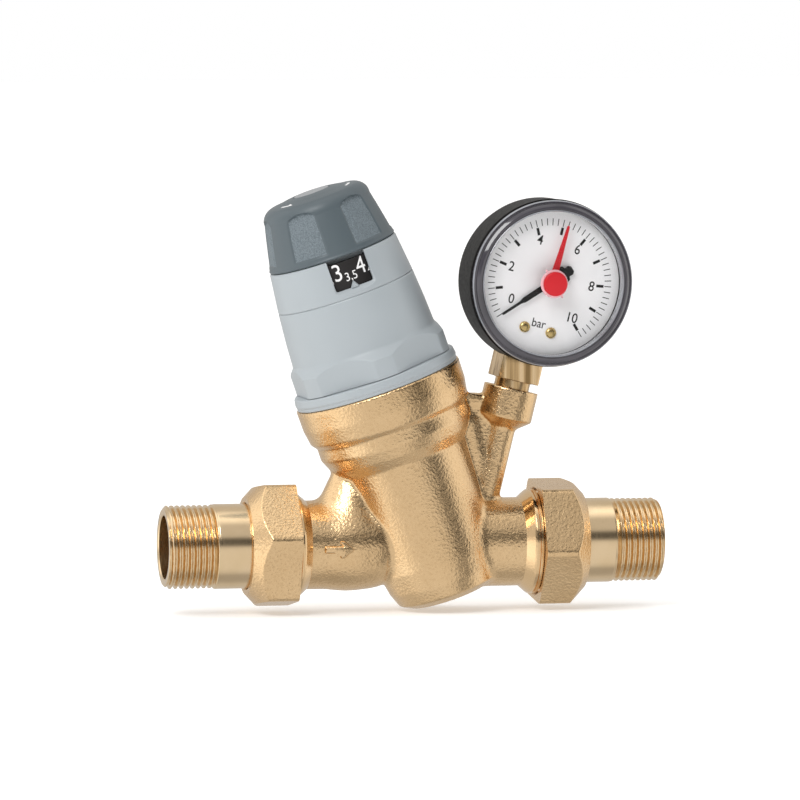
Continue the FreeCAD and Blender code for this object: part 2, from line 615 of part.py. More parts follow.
def gauge_stem():
    """Square wrench block with its neck, thread and the foot inside the case."""
    neck = disc(5.65, 0.2, BLOCK_H[0] + 0.5)
    thread = turned([(0, -GAUGE_THREAD_LENGTH), (5.8, -GAUGE_THREAD_LENGTH),
                     (GAUGE_THREAD_R, -GAUGE_THREAD_LENGTH + 0.8), (GAUGE_THREAD_R, 0.2), (0, 0.2)])
    block = Part.makeBox(2 * BLOCK_HALF, 2 * BLOCK_HALF, 12.5, Vector(-BLOCK_HALF, -BLOCK_HALF, BLOCK_H[0]))
    body = fused([neck, thread, block, stem_foot()] + dial_posts())
    for x in (-DIAL_SCREW_X, DIAL_SCREW_X):
        body = body.cut(Part.makeCylinder(1.0, 10, Vector(x, -8.4, DIAL_SCREW_H), Vector(0, -1, 0)))
    drilling = disc(1.2, -GAUGE_THREAD_LENGTH - 1, 22.0)
    chamfer = Part.makeCone(9.0, 13.0, 4.0, Vector(0, 0, BLOCK_H[0]))
    far = Part.makeBox(80, 80, 60, Vector(-40, -40, BLOCK_H[0] + 4.0))
    lower = Part.makeBox(80, 80, 60, Vector(-40, -40, BLOCK_H[0] - 60))
    return body.common(fused([chamfer, far, lower])).cut(drilling)


def stem_opening():
    """Clearance in the case wall for the stem block, in the dial frame."""
    size = 2 * BLOCK_HALF + 0.2
    return Part.makeBox(size, 14, size, Vector(-size / 2, -GAUGE_CENTRE + 6, -size / 2))


def gauge_case():
    inner = CASE_R - CASE_WALL
    return turned([(0, CASE_BACK_F), (20.0, CASE_BACK_F), (23.0, CASE_BACK_F + 1.0),
                   (CASE_R - 0.9, -1.0), (CASE_R - 0.2, 1.0), (CASE_R - 0.2, CASE_FRONT_F - 1.4),
                   (CASE_R, CASE_FRONT_F - 1.2), (CASE_R, CASE_FRONT_F), (inner, CASE_FRONT_F),
                   (inner, 0.8), (21.9, CASE_BACK_F + 2.4), (19.5, CASE_BACK_F + 1.5),
                   (0, CASE_BACK_F + 1.5)]).cut(stem_opening())


def gauge_window():
    """Clear cap with a stepped rim; the set hand's spindle turns in its centre."""
    return turned([(1.56, 17.1), (22.4, 17.1), (23.0, 15.6), (24.5, 15.6), (24.5, 14.2),
                   (CASE_R - CASE_WALL - 0.01, 14.2), (CASE_R - CASE_WALL - 0.01, CASE_FRONT_F),
                   (CASE_R - 0.35, CASE_FRONT_F), (CASE_R - 0.45, 17.6), (CASE_R - 1.2, WINDOW_FRONT_F),
                   (24.0, WINDOW_FRONT_F), (23.0, 18.3), (1.56, 18.3)])


def gauge_dial():
    plate = ring(2.4, DIAL_R, DIAL_F[0], DIAL_F[1])
    for x in (-DIAL_SCREW_X, DIAL_SCREW_X):
        hole_centre = Vector(x, DIAL_SCREW_H - GAUGE_CENTRE, DIAL_F[0] - 1)
        plate = plate.cut(Part.makeCylinder(1.05, 4, hole_centre))
    return plate


def dial_screws():
    screws = []
    for x in (-DIAL_SCREW_X, DIAL_SCREW_X):
        head = turned([(0, DIAL_F[1]), (1.75, DIAL_F[1]), (1.6, DIAL_F[1] + 0.5),
                       (0.9, DIAL_F[1] + 0.85), (0, DIAL_F[1] + 0.95)])
        screw = head.fuse(disc(1.0, 8.4, DIAL_F[1]))
        screw.translate(Vector(x, DIAL_SCREW_H - GAUGE_CENTRE, 0))
        screws.append(screw)
    return Part.Compound(screws)


def hand_outline(length, tail, half_root, half_tip, half_tail):
    return [(-half_root, 0), (-half_tip, length), (half_tip, length), (half_root, 0),
            (half_tail, -tail), (-half_tail, -tail)]


def gauge_pointer():
    low, high = POINTER_F
    blade = prism(hand_outline(POINTER_R, 7.5, 1.0, 0.35, 1.7), low, high)
    hub = disc(2.6, low - 0.4, high + 0.2)
    rest_angle = SCALE_SWEEP / 2
    return turned_about(fused([blade, hub]).cut(disc(0.75, low - 2, high + 2)), rest_angle)


def pointer_arbor():
    """Spindle of the black pointer with its pinion."""
    spindle = disc(0.74, 2.6, POINTER_F[1] + 0.3)
    return fused([spindle, gear_blank(PINION_TEETH, 0.0, GEAR_F[0] - 0.3, GEAR_F[1] + 0.3)])


def gear_blank(teeth, phase, low, high, backlash=0.07):
    """Gear with straight-flanked teeth on module pitch; phase turns the first tooth."""
    pitch_r = GEAR_MODULE * teeth / 2
    root_r = pitch_r - 1.2 * GEAR_MODULE
    tip_r = pitch_r + 0.85 * GEAR_MODULE
    half_pitch = (math.pi * GEAR_MODULE / 4 - backlash) / pitch_r
    points = []
    for tooth in range(teeth):
        centre = 2 * math.pi * tooth / teeth + math.radians(phase)
        for radius, share in ((root_r, -1.55), (tip_r, -0.42), (tip_r, 0.42), (root_r, 1.55)):
            angle = centre + share * half_pitch
            points.append((radius * math.cos(angle), radius * math.sin(angle)))
    return prism(points, low, high)


def sector_gear():
    """Toothed sector at zero pressure, drawn about its pivot, with its tail."""
    low, high = GEAR_F
    pitch_r = GEAR_MODULE * SECTOR_TEETH / 2
    middle = -SECTOR_SWEEP / 2
    teeth = gear_blank(SECTOR_TEETH, 180.0 / SECTOR_TEETH, low, high)
    rim = teeth.common(wedge((SECTOR_SWEEP + 16) / 2, 20, middle, low, high)).cut(
        disc(pitch_r - 2.6, low, high))
    arm = prism([(0, -1.8), (pitch_r - 1.6, -4.0), (pitch_r - 1.6, 4.0), (0, 1.8)], low, high)
    tail = prism([(0, -1.5), (0, 1.5), (-5.4, 1.1), (-5.4, -1.1)], low, high)
    hub = disc(2.2, low - 0.4, high + 0.4)
    sector = fused([rim, turned_about(arm, middle), turned_about(tail, middle), hub])
    return sector.cut(disc(1.05, low - 2, high + 2))


def sector_link():
    """Strap from the sector's tail down to the tip of the tube."""
    strap = Part.makeBox(1.0, 1.8, GEAR_F[0] + 0.4, Vector(-5.3, -0.9, -0.4))
    return turned_about(strap, -SECTOR_SWEEP / 2)


def moved(shape, x, y=0.0):
    copy = shape.copy()
    copy.translate(Vector(x, y, 0))
    return copy


def movement_pieces():
    """Plates, pillars and the parts that turn between them."""
    plate_outline = [(-18.0, -6.0), (6.0, -6.0), (6.0, 6.0), (-18.0, 6.0)]
    back = prism(plate_outline, 2.6, 3.4)
    front = prism(plate_outline, 6.8, 7.6)
    pillars = [moved(disc(0.9, 3.4, 6.8), x, y) for x in (-16.6, 4.6) for y in (-4.6, 4.6)]
    pinion_hole = disc(0.8, 0, 12)
    sector_shaft = moved(disc(1.0, 2.3, 7.9), -SECTOR_DISTANCE)
    return {"movement_back_plate": back.cut(pinion_hole).cut(sector_shaft),
            "movement_front_plate": front.cut(pinion_hole).cut(sector_shaft),
            "movement_pillars": Part.Compound(pillars),
            "sector_shaft": sector_shaft,
            "sector_gear": moved(sector_gear(), -SECTOR_DISTANCE),
            "sector_link": moved(sector_link(), -SECTOR_DISTANCE)}


def bourdon_tube():
    """Curved pressure tube from the stem foot round to its free tip."""
    ring_solid = Part.makeTorus(TUBE_MEAN_R, TUBE_R, Vector(0, 0, TUBE_F))
    span = Part.makeCylinder(30, 30, Vector(0, 0, -20), Z_AXIS, TUBE_TIP_ANGLE - TUBE_START_ANGLE)
    tube = ring_solid.common(turned_about(span, TUBE_START_ANGLE))
    socket = placed(gauge_stem(), DIAL.inverse().multiply(GAUGE_STEM))
    return tube.cut(socket)


def tube_tip():
    tip = Part.makeBox(4.8, 4.6, 4.0, Vector(16.6, 0, TUBE_F - 2.0))
    return turned_about(tip, TUBE_TIP_ANGLE)


def set_hand():
    """Red marker hand with the cap that turns it from outside the window."""
    low, high = SET_HAND_F
    angle = SCALE_SWEEP / 2 - SCALE_SWEEP * SET_READING / SCALE_TOP
    blade = prism(hand_outline(19.0, 0.5, 1.1, 0.45, 1.1), low, high)
    hub = disc(3.4, low, high + 0.3)
    spindle = disc(1.5, high, WINDOW_FRONT_F + 0.4)
    return turned_about(fused([blade, hub, spindle]), angle)


def set_cap():
    return turned([(1.5, 18.45), (4.5, 18.45), (4.5, 19.0), (3.9, 19.2), (3.9, SET_CAP_F - 0.4),
                   (3.5, SET_CAP_F), (0, SET_CAP_F), (0, 19.1), (1.5, 19.1)])


def build_gauge():
    save("gauge_stem", placed(gauge_stem(), GAUGE_STEM))
    pieces = {"gauge_case": gauge_case(), "gauge_window": gauge_window(),
              "gauge_dial": gauge_dial(), "dial_screws": dial_screws(),
              "gauge_pointer": gauge_pointer(), "pointer_arbor": pointer_arbor(),
              "bourdon_tube": bourdon_tube(), "tube_tip": tube_tip(),
              "set_hand": set_hand(), "set_cap": set_cap()}
    pieces.update(movement_pieces())
    save_all(pieces, DIAL)


def build_cartridge():
    pieces = {"cartridge_cage": cartridge_cage(), "strainer": strainer(),
              "valve_seat": valve_seat(), "diaphragm": diaphragm(), "slip_ring": slip_ring(),
              "range_spring": range_spring(),
              "upper_o_ring": torus_ring(CAGE_R - 0.6, 34.0),
              "lower_o_ring": torus_ring(SPIGOT_R - 0.6, 9.0)}
    pieces.update(plug_pieces())
    save_all(pieces, CARTRIDGE)


def build_bonnet():
    save_all({"bonnet_cover": bonnet_cover(), "indicator_ring": indicator_ring(),
              "pressure_drum": pressure_drum(), "spring_carrier": spring_carrier(),
              "carrier_pin": carrier_pin(), "adjusting_screw": adjusting_screw(),
              "thrust_washer": thrust_washer(), "adjusting_knob": adjusting_knob(),
              "knob_screw": knob_screw(), "knob_cap": knob_cap()}, CARTRIDGE)


os.makedirs("parts", exist_ok=True)
save("valve_body", valve_body())
build_unions()
build_cartridge()
build_bonnet()
build_gauge()
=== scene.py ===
import json
import math

import bmesh
import bpy
import numpy as np
from mathutils import Matrix, Vector


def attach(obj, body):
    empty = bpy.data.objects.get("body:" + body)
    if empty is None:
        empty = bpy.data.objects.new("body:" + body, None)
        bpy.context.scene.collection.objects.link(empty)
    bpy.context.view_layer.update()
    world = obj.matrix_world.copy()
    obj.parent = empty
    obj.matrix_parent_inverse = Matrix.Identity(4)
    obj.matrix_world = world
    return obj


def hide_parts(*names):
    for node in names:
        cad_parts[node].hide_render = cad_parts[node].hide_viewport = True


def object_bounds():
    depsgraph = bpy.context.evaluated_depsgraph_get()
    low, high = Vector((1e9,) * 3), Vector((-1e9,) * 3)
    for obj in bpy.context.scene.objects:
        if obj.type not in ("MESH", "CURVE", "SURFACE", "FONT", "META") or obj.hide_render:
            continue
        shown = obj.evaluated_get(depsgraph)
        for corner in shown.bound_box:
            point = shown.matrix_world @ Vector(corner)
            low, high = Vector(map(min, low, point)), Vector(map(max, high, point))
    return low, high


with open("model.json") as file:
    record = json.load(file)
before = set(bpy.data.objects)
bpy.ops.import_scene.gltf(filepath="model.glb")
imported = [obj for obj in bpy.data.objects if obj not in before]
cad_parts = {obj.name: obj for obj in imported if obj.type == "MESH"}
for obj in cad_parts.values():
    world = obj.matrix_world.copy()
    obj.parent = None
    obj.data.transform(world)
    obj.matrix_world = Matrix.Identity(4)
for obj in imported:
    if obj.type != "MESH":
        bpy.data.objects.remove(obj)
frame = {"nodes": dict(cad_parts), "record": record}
CAD_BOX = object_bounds()

# Sizes below are in millimetres; MM turns them into the frame's metres.
MM = 0.001
JOINTS = {joint["name"]: joint for joint in frame["record"]["behaviour"]["joints"]}

# ---- camera ----
VIEW_AZIMUTH = -11.6
VIEW_ELEVATION = 3.9
VIEW_DISTANCE = 2.5
VIEW_TARGET = (0.0763, 0.0, 0.0456)
VIEW_HEIGHT = 0.2538            # height seen at the target
SENSOR = 36.0

# ---- shared sizes ----
SEGMENTS = 256
AXIS_X = 86.55
AXIS_LEAN = 19.15
GAUGE_LEAN = 13.7
GAUGE_CENTRE = 35.35
STUB_R = 14.1
BODY_END = 35.4
END_TO_END = 160.0
THREAD_R = 13.22
THREAD_PITCH = 1.814
THREAD_DEPTH = 1.16
TAIL_R = 13.45
BORE_R = 10.1
# Each union: heights of the nut's two ends, angle of one of its corners in degrees.
UNIONS = {"inlet": ((26.2, 41.3), -99.2), "outlet": ((24.9, 40.2), -96.6)}
DIAL_FACE = 13.8
PRINT_HEIGHT = DIAL_FACE + 0.03
SCALE_SWEEP = 270.0
SCALE_TOP = 10
SET_READING = 5.12
DIAL_SCREWS = ((-4.7, -15.4), (4.2, -15.4))
# Dial figures: value, distance from the centre, turn from their mark in degrees.
FIGURE_PLACES = ((0, 13.6, -10.0), (2, 13.7, 0), (4, 13.9, 0), (6, 13.7, -1.0), (8, 13.9, -1.5),
                 (10, 13.5, 1.5))
DRUM_R = 20.0
WINDOW_FOOT = 87.7
DEGREES_PER_BAR = 22.5
REST_BAR = 3.5


# ---- frames of the pieces ----
def axes_matrix(origin, x_axis, y_axis, z_axis):
    """Placement whose columns are the three axes, in millimetres to metres."""
    matrix = Matrix.Identity(4)
    for column, axis in enumerate((x_axis, y_axis, z_axis)):
        for row in range(3):
            matrix[row][column] = axis[row] * MM
    for row in range(3):
        matrix[row][3] = origin[row]
    return matrix


def cartridge_frame():
    joint = JOINTS["knob_turn"]
    up = Vector(joint["axis"]).normalized()
    back = Vector((0, 1, 0))
    return axes_matrix(Vector(joint["pos_m"]), back.cross(up), back, up)


def dial_frame():
    """Dial frame: z out of the dial, y up the stem, origin on the pointer's axis."""
    joint = JOINTS["pointer_turn"]
    out = -Vector(joint["axis"]).normalized()
    lean = math.radians(GAUGE_LEAN)
    up = Vector((math.sin(lean), 0, math.cos(lean)))
    return axes_matrix(Vector(joint["pos_m"]), up.cross(out), up, out)


def end_frame(side):
    """Frame of a pipe end: z runs inwards from the end face, y stays the row's Y."""
    if side == "inlet":
        return axes_matrix(Vector(), Vector((0, 0, -1)), Vector((0, 1, 0)), Vector((1, 0, 0)))
    origin = Vector((END_TO_END * MM, 0, 0))
    return axes_matrix(origin, Vector((0, 0, 1)), Vector((0, 1, 0)), Vector((-1, 0, 0)))


ROW = Matrix.Diagonal((MM, MM, MM, 1))
CARTRIDGE = cartridge_frame()
DIAL = dial_frame()


# ---- mesh helpers ----
def placed(name, mesh, placement=ROW, sharp=35.0):
    """Object from a mesh in millimetres, smooth except at edges over the angle."""
    mesh.transform(placement)
    mesh.shade_smooth()
    mesh.set_sharp_from_angle(angle=math.radians(sharp))
    piece = bpy.data.objects.new(name, mesh)
    bpy.context.collection.objects.link(piece)
    return piece


def new_piece(name, vertices, faces, placement=ROW, sharp=35.0):
    mesh = bpy.data.meshes.new(name)
    mesh.from_pydata([tuple(v) for v in vertices], [], faces)
    mesh.validate()
    return placed(name, mesh, placement, sharp)


def finish_bmesh(name, mesh, placement=ROW, sharp=35.0):
    data = bpy.data.meshes.new(name)
    mesh.to_mesh(data)
    mesh.free()
    return placed(name, data, placement, sharp)


def skinned(loops):
    """Mesh stretched over loops of equal count, closed at the first and the last."""
    mesh = bmesh.new()
    rings = [[mesh.verts.new(point) for point in loop] for loop in loops]
    for lower, upper in zip(rings, rings[1:]):
        for i in range(len(lower)):
            j = (i + 1) % len(lower)
            mesh.faces.new((lower[i], lower[j], upper[j], upper[i]))
    mesh.faces.new(rings[-1])
    mesh.faces.new(list(reversed(rings[0])))
    bmesh.ops.recalc_face_normals(mesh, faces=mesh.faces)
    return mesh


def grid_faces(rows, columns):
    """Quads over a grid of points that closes on itself both ways."""
    faces = []
    for i in range(rows):
        here, above = i * columns, (i + 1) % rows * columns
        for j in range(columns):
            k = (j + 1) % columns
            faces.append((above + j, above + k, here + k, here + j))
    return faces


def spun(name, section, inner, placement, segments, sharp):
    """Closed ring-shaped solid whose outside changes with the angle.

    section(angles) gives the outside's radii and heights, as rows of points by angles; inner
    is the rest of the outline, the same all round."""
    angles = np.linspace(0, 2 * np.pi, segments, endpoint=False)
    outer_r, outer_h = section(angles)
    inner_r, inner_h = (np.repeat(column[:, None], segments, axis=1)
                        for column in np.array(inner, float).T)
    radius = np.concatenate([outer_r, inner_r])
    height = np.concatenate([np.broadcast_to(outer_h, outer_r.shape), inner_h])
    points = np.stack([radius * np.cos(angles), radius * np.sin(angles), height], axis=-1)
    faces = grid_faces(len(radius), segments)
    return new_piece(name, points.reshape(-1, 3), faces, placement, sharp)


def lathe(name, profile, placement=ROW, segments=SEGMENTS, sharp=35.0):
    """Solid of revolution of closed (radius, height) points, anticlockwise from the axis.

    Points on the axis are welded to one point each."""
    angles = np.linspace(0, 2 * np.pi, segments, endpoint=False)
    mesh = bmesh.new()
    rings = []
    for radius, height in profile:
        if radius < 1e-6:
            rings.append([mesh.verts.new((0, 0, height))])
        else:
            rings.append([mesh.verts.new((radius * math.cos(a), radius * math.sin(a), height))
                          for a in angles])
    for first, second in zip(rings, rings[1:] + rings[:1]):
        if len(first) == 1 and len(second) == 1:
            continue
        for j in range(segments):
            k = (j + 1) % segments
            corners = [first[j % len(first)], first[k % len(first)],
                       second[k % len(second)], second[j % len(second)]]
            unique = list(dict.fromkeys(corners))
            mesh.faces.new(unique)
    bmesh.ops.recalc_face_normals(mesh, faces=mesh.faces)
    return finish_bmesh(name, mesh, placement, sharp)


def rounded(points, radius, steps=5):
    """Replaces the corners of an open or closed outline by arcs of the given radii.

    radius is one number or a dict of point index to radius; the outline is closed."""
    result = []
    count = len(points)
    for index, point in enumerate(points):
        r = radius.get(index, 0.0) if isinstance(radius, dict) else radius
        here = np.array(point, float)
        before = np.array(points[index - 1], float) - here
        after = np.array(points[(index + 1) % count], float) - here
        la, lb = np.linalg.norm(before), np.linalg.norm(after)
        if r <= 0 or la < 1e-9 or lb < 1e-9:
            result.append(tuple(here))
            continue
        da, db = before / la, after / lb
        half = math.acos(max(-1.0, min(1.0, float(da @ db)))) / 2
        if half > math.radians(88.5):
            result.append(tuple(here))
            continue
        reach = min(r / math.tan(half), 0.48 * la, 0.48 * lb)
        start, end = here + da * reach, here + db * reach
        for step in range(steps + 1):
            t = step / steps
            result.append(tuple((1 - t) ** 2 * start + 2 * t * (1 - t) * here + t ** 2 * end))
    return result


def prism(name, outline, low, high, placement, bevel=0.0, sharp=35.0):
    """Flat outline pushed from low to high, with a small bevel on all edges."""
    mesh = bmesh.new()
    base = [mesh.verts.new((x, y, low)) for x, y in outline]
    face = mesh.faces.new(base)
    pushed = bmesh.ops.extrude_face_region(mesh, geom=[face])
    top = [v for v in pushed["geom"] if isinstance(v, bmesh.types.BMVert)]
    bmesh.ops.translate(mesh, vec=(0, 0, high - low), verts=top)
    bmesh.ops.recalc_face_normals(mesh, faces=mesh.faces)
    if bevel > 0:
        edges = [e for e in mesh.edges if e.calc_face_angle(0) > math.radians(25)]
        bmesh.ops.bevel(mesh, geom=edges, offset=bevel, segments=2, affect="EDGES",
                        clamp_overlap=True)
    return finish_bmesh(name, mesh, placement, sharp)


def smooth_min(a, b, k):
    h = np.clip(0.5 + 0.5 * (b - a) / k, 0, 1)
    return b + (a - b) * h - k * h * (1 - h)


def smooth_max(a, b, k):
    return -smooth_min(-a, -b, k)


def joined(name, pieces):
    """One object from several, keeping their faces and materials."""
    bpy.ops.object.select_all(action="DESELECT")
    for piece in pieces:
        piece.select_set(True)
    bpy.context.view_layer.objects.active = pieces[0]
    bpy.ops.object.join()
    pieces[0].name = name
    return pieces[0]


# ---- materials ----
class Shader:
    """Short helper around one node material."""

    def __init__(self, name):
        self.material = bpy.data.materials.new(name)
        self.material.use_nodes = True
        self.tree = self.material.node_tree
        self.bsdf = self.tree.nodes["Principled BSDF"]
        self.coords = self.node("ShaderNodeTexCoord").outputs["Object"]

    def node(self, kind, **settings):
        node = self.tree.nodes.new(kind)
        for key, value in settings.items():
            if hasattr(node, key):
                setattr(node, key, value)
            else:
                node.inputs[key.replace("_", " ")].default_value = value
        return node

    def link(self, output, target):
        self.tree.links.new(output, target)

    def noise(self, scale, detail=2.0, roughness=0.5, stretch=None):
        texture = self.node("ShaderNodeTexNoise", Scale=scale, Detail=detail, Roughness=roughness)
        self.link(self.mapped(stretch), texture.inputs["Vector"])
        return texture.outputs["Fac"]

    def mapped(self, stretch):
        if stretch is None:
            return self.coords
        mapping = self.node("ShaderNodeMapping")
        mapping.inputs["Rotation"].default_value = stretch[0]
        mapping.inputs["Scale"].default_value = stretch[1]
        self.link(self.coords, mapping.inputs["Vector"])
        return mapping.outputs["Vector"]

    def ramp(self, value, stops):
        ramp = self.node("ShaderNodeValToRGB")
        elements = ramp.color_ramp.elements
        while len(elements) < len(stops):
            elements.new(0.5)
        for element, (position, colour) in zip(elements, stops):
            grey = isinstance(colour, float)
            element.position = position
            element.color = (*((colour,) * 3 if grey else colour), 1.0)
        self.link(value, ramp.inputs["Fac"])
        return ramp.outputs["Color"]

    def vary(self, socket, value, stops):
        """Drives one of the shader's sockets through a ramp of colours or greys."""
        self.link(self.ramp(value, stops), self.bsdf.inputs[socket])

    def bump(self, heights):
        """Chains bump nodes for (value, strength, distance) entries."""
        previous = None
        for value, strength, reach in heights:
            bump = self.node("ShaderNodeBump", Strength=strength, Distance=reach)
            self.link(value, bump.inputs["Height"])
            if previous is not None:
                self.link(previous, bump.inputs["Normal"])
            previous = bump.outputs["Normal"]
        self.link(previous, self.bsdf.inputs["Normal"])

    def set(self, **values):
        for key, value in values.items():
            self.bsdf.inputs[key.replace("_", " ")].default_value = value


def cast_brass(name="cast_brass", grain_depth=1.0, gloss=0.0):
    """Blasted and tumbled casting: fine pebbles, soft waves and pits in the bump; the colour
    carries painted shade in the pebbles' hollows and a faint painted highlight on their tops.
    """
    s = Shader(name)
    s.set(Metallic=1.0)
    grain = s.noise(1250.0, 2.0, 0.5)
    pits = s.noise(820.0, 1.0, 0.5)
    waves = s.noise(150.0, 2.0, 0.5)
    tone = s.noise(55.0, 3.0, 0.6)
    base = s.ramp(tone, [(0.3, (0.79, 0.545, 0.295)), (0.7, (0.86, 0.610, 0.345))])
    # Colour speckle tied to the grain's bump height: painted shade where the grain is low, painted
    # highlight where it is high.
    pebble_shade_and_highlight = s.ramp(grain, [(0.34, (0.70, 0.63, 0.52)), (0.47, (0.98, 0.97, 0.95)),
                           (0.66, (1.06, 1.06, 1.08))])
    mix = s.node("ShaderNodeMix", data_type="RGBA", blend_type="MULTIPLY")
    mix.inputs["Factor"].default_value = 0.22 * grain_depth
    s.link(base, mix.inputs[6])
    s.link(pebble_shade_and_highlight, mix.inputs[7])
    s.link(mix.outputs[2], s.bsdf.inputs["Base Color"])
    low, high = 0.21 - gloss, 0.29 - gloss
    s.vary("Roughness", grain, [(0.3, high), (0.75, low)])
    s.bump([(waves, 0.12, 0.0006), (pits, 0.10 * grain_depth, 0.0004),
            (grain, 0.42 * grain_depth, 0.00040)])
    return s.material


def machined_brass():
    """Turned brass with fine tool marks."""
    s = Shader("machined_brass")
    s.set(Metallic=1.0)
    marks = s.noise(900.0, 2.0, 0.5, ((0, 0, 0), (6.0, 0.35, 0.35)))
    tone = s.noise(90.0, 2.0, 0.5)
    s.vary("Base Color", tone, [(0.3, (0.80, 0.60, 0.36)), (0.7, (0.86, 0.66, 0.42))])
    s.vary("Roughness", marks, [(0.3, 0.16), (0.75, 0.26)])
    s.bump([(marks, 0.12, 0.00004)])
    return s.material


def block_brass():
    """Drawn square bar: streaks run along the stem."""
    s = Shader("block_brass")
    s.set(Metallic=1.0)
    lean = math.radians(GAUGE_LEAN)
    streaks = s.noise(420.0, 3.0, 0.6, ((0, -lean, 0), (1.0, 1.0, 0.02)))
    s.vary("Base Color", streaks, [(0.35, (0.36, 0.23, 0.10)), (0.5, (0.68, 0.47, 0.24)),
                                   (0.66, (0.84, 0.62, 0.37))])
    s.vary("Roughness", streaks, [(0.3, 0.30), (0.7, 0.18)])
    s.bump([(streaks, 0.25, 0.00008)])
    return s.material


def moulded(name, colour, roughness, grain_scale=2600.0, grain=0.10, spread=0.05, coat=0.0,
            shine=0.5):
    """Moulded plastic: slight tone drift, fine skin texture."""
    s = Shader(name)
    tone = s.noise(45.0, 2.0, 0.5)
    dark = tuple(c * (1 - spread) for c in colour)
    light = tuple(min(1.0, c * (1 + spread)) for c in colour)
    s.vary("Base Color", tone, [(0.3, dark), (0.7, light)])
    skin = s.noise(grain_scale, 2.0, 0.5)
    s.vary("Roughness", skin, [(0.3, roughness * 0.9), (0.7, roughness * 1.1)])
    s.bump([(skin, grain, 0.00006)])
    s.bsdf.inputs["Specular IOR Level"].default_value = shine
    if coat:
        s.set(Coat_Weight=coat, Coat_Roughness=0.12)
    return s.material


def grip_plastic():
    """Sparked grip facets of the knob: coarse dots that catch the light."""
    s = Shader("grip_plastic")
    dots = s.node("ShaderNodeTexVoronoi", feature="F1", Scale=1900.0, Randomness=0.8)
    s.link(s.coords, dots.inputs["Vector"])
    speck = s.noise(2600.0, 2.0, 0.7)
    s.vary("Base Color", speck, [(0.35, (0.098, 0.128, 0.146)), (0.62, (0.185, 0.222, 0.246))])
    s.set(Roughness=0.62)
    s.bump([(dots.outputs["Distance"], 0.5, 0.00012)])
    return s.material


def steel(name, colour, roughness):
    s = Shader(name)
    s.set(Metallic=1.0)
    marks = s.noise(1100.0, 2.0, 0.5)
    dark = tuple(c * 0.85 for c in colour)
    s.vary("Base Color", marks, [(0.3, dark), (0.7, colour)])
    s.vary("Roughness", marks, [(0.3, roughness * 0.8), (0.7, roughness * 1.2)])
    s.bump([(marks, 0.1, 0.00004)])
    return s.material


def enamel(name, colour, roughness=0.35):
    s = Shader(name)
    tone = s.noise(300.0, 2.0, 0.5)
    dark = tuple(c * 0.97 for c in colour)
    s.vary("Base Color", tone, [(0.3, dark), (0.7, colour)])
    s.set(Roughness=roughness)
    s.bump([(s.noise(3500.0), 0.03, 0.00003)])
    return s.material


def clear_plastic(name, alpha, tint):
    s = Shader(name)
    s.set(Base_Color=(*tint, 1.0), Roughness=0.04, Alpha=alpha, IOR=1.49)
    ripple = s.noise(120.0, 1.0, 0.5)
    s.bump([(ripple, 0.02, 0.0001)])
    return s.material


def crystal_rim(name, colour):
    """Thick clear edge of the window, seen smoky over the black seat; its light blue-grey copy is
    painted reflection.
    """
    s = Shader(name)
    tone = s.noise(70.0, 2.0, 0.5)
    dark = tuple(c * 0.75 for c in colour)
    light = tuple(c * 1.25 for c in colour)
    s.vary("Base Color", tone, [(0.3, dark), (0.7, light)])
    s.set(Roughness=0.12, Coat_Weight=1.0, Coat_Roughness=0.03)
    s.bump([(s.noise(200.0, 1.0, 0.5), 0.04, 0.0001)])
    return s.material


MATERIALS = {
    "cast_brass": cast_brass(),
    "turned_casting": cast_brass("turned_casting", 0.25, 0.12),
    "machined_brass": machined_brass(),
    "block_brass": block_brass(),
    "bonnet_grey": moulded("bonnet_grey", (0.385, 0.425, 0.450), 0.36, spread=0.02),
    "knob_grey": moulded("knob_grey", (0.085, 0.110, 0.124), 0.40, spread=0.05),
    "grip": grip_plastic(),
    "cap_grey": moulded("cap_grey", (0.30, 0.315, 0.33), 0.35, spread=0.03),
    "drum_black": moulded("drum_black", (0.012, 0.010, 0.010), 0.45, spread=0.02),
    "figure_white": enamel("figure_white", (0.90, 0.90, 0.90), 0.5),
    "case_black": moulded("case_black", (0.0075, 0.0070, 0.0065), 0.50, 900.0, 0.25, 0.10,
                          shine=0.13),
    "clear_plastic": clear_plastic("clear_plastic", 0.03, (0.02, 0.02, 0.025)),
    "crystal_rim": crystal_rim("crystal_rim", (0.050, 0.046, 0.058)),
    # Light blue-grey copy of the clear rim: painted reflection on the rim's inner edge and outer
    # line.
    "rim_painted_reflection": crystal_rim("rim_painted_reflection", (0.26, 0.27, 0.30)),
    "dial_white": enamel("dial_white", (0.93, 0.93, 0.945), 0.5),
    "print_black": enamel("print_black", (0.012, 0.012, 0.012), 0.5),
    "hand_black": enamel("hand_black", (0.008, 0.008, 0.008), 0.4),
    "hand_red": moulded("hand_red", (0.60, 0.003, 0.012), 0.40, 1500.0, 0.05, 0.05),
    "hand_pink": clear_plastic("hand_pink", 0.75, (0.95, 0.55, 0.60)),
    "movement_brass": steel("movement_brass", (0.80, 0.60, 0.26), 0.28),
    "steel": steel("steel", (0.60, 0.61, 0.63), 0.25),
    "spring_steel": steel("spring_steel", (0.30, 0.31, 0.33), 0.35),
    "rubber": moulded("rubber", (0.020, 0.020, 0.020), 0.65, 1500.0, 0.2, 0.1),
    "cage_white": moulded("cage_white", (0.70, 0.70, 0.66), 0.5),
}


def dress(piece, body, material, replaces=()):
    """Gives a piece its material and body, and hides the CAD nodes it replaces."""
    if material is not None:
        piece.data.materials.clear()
        piece.data.materials.append(MATERIALS[material])
    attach(piece, body)
    if replaces:
        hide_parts(*replaces)
    return piece


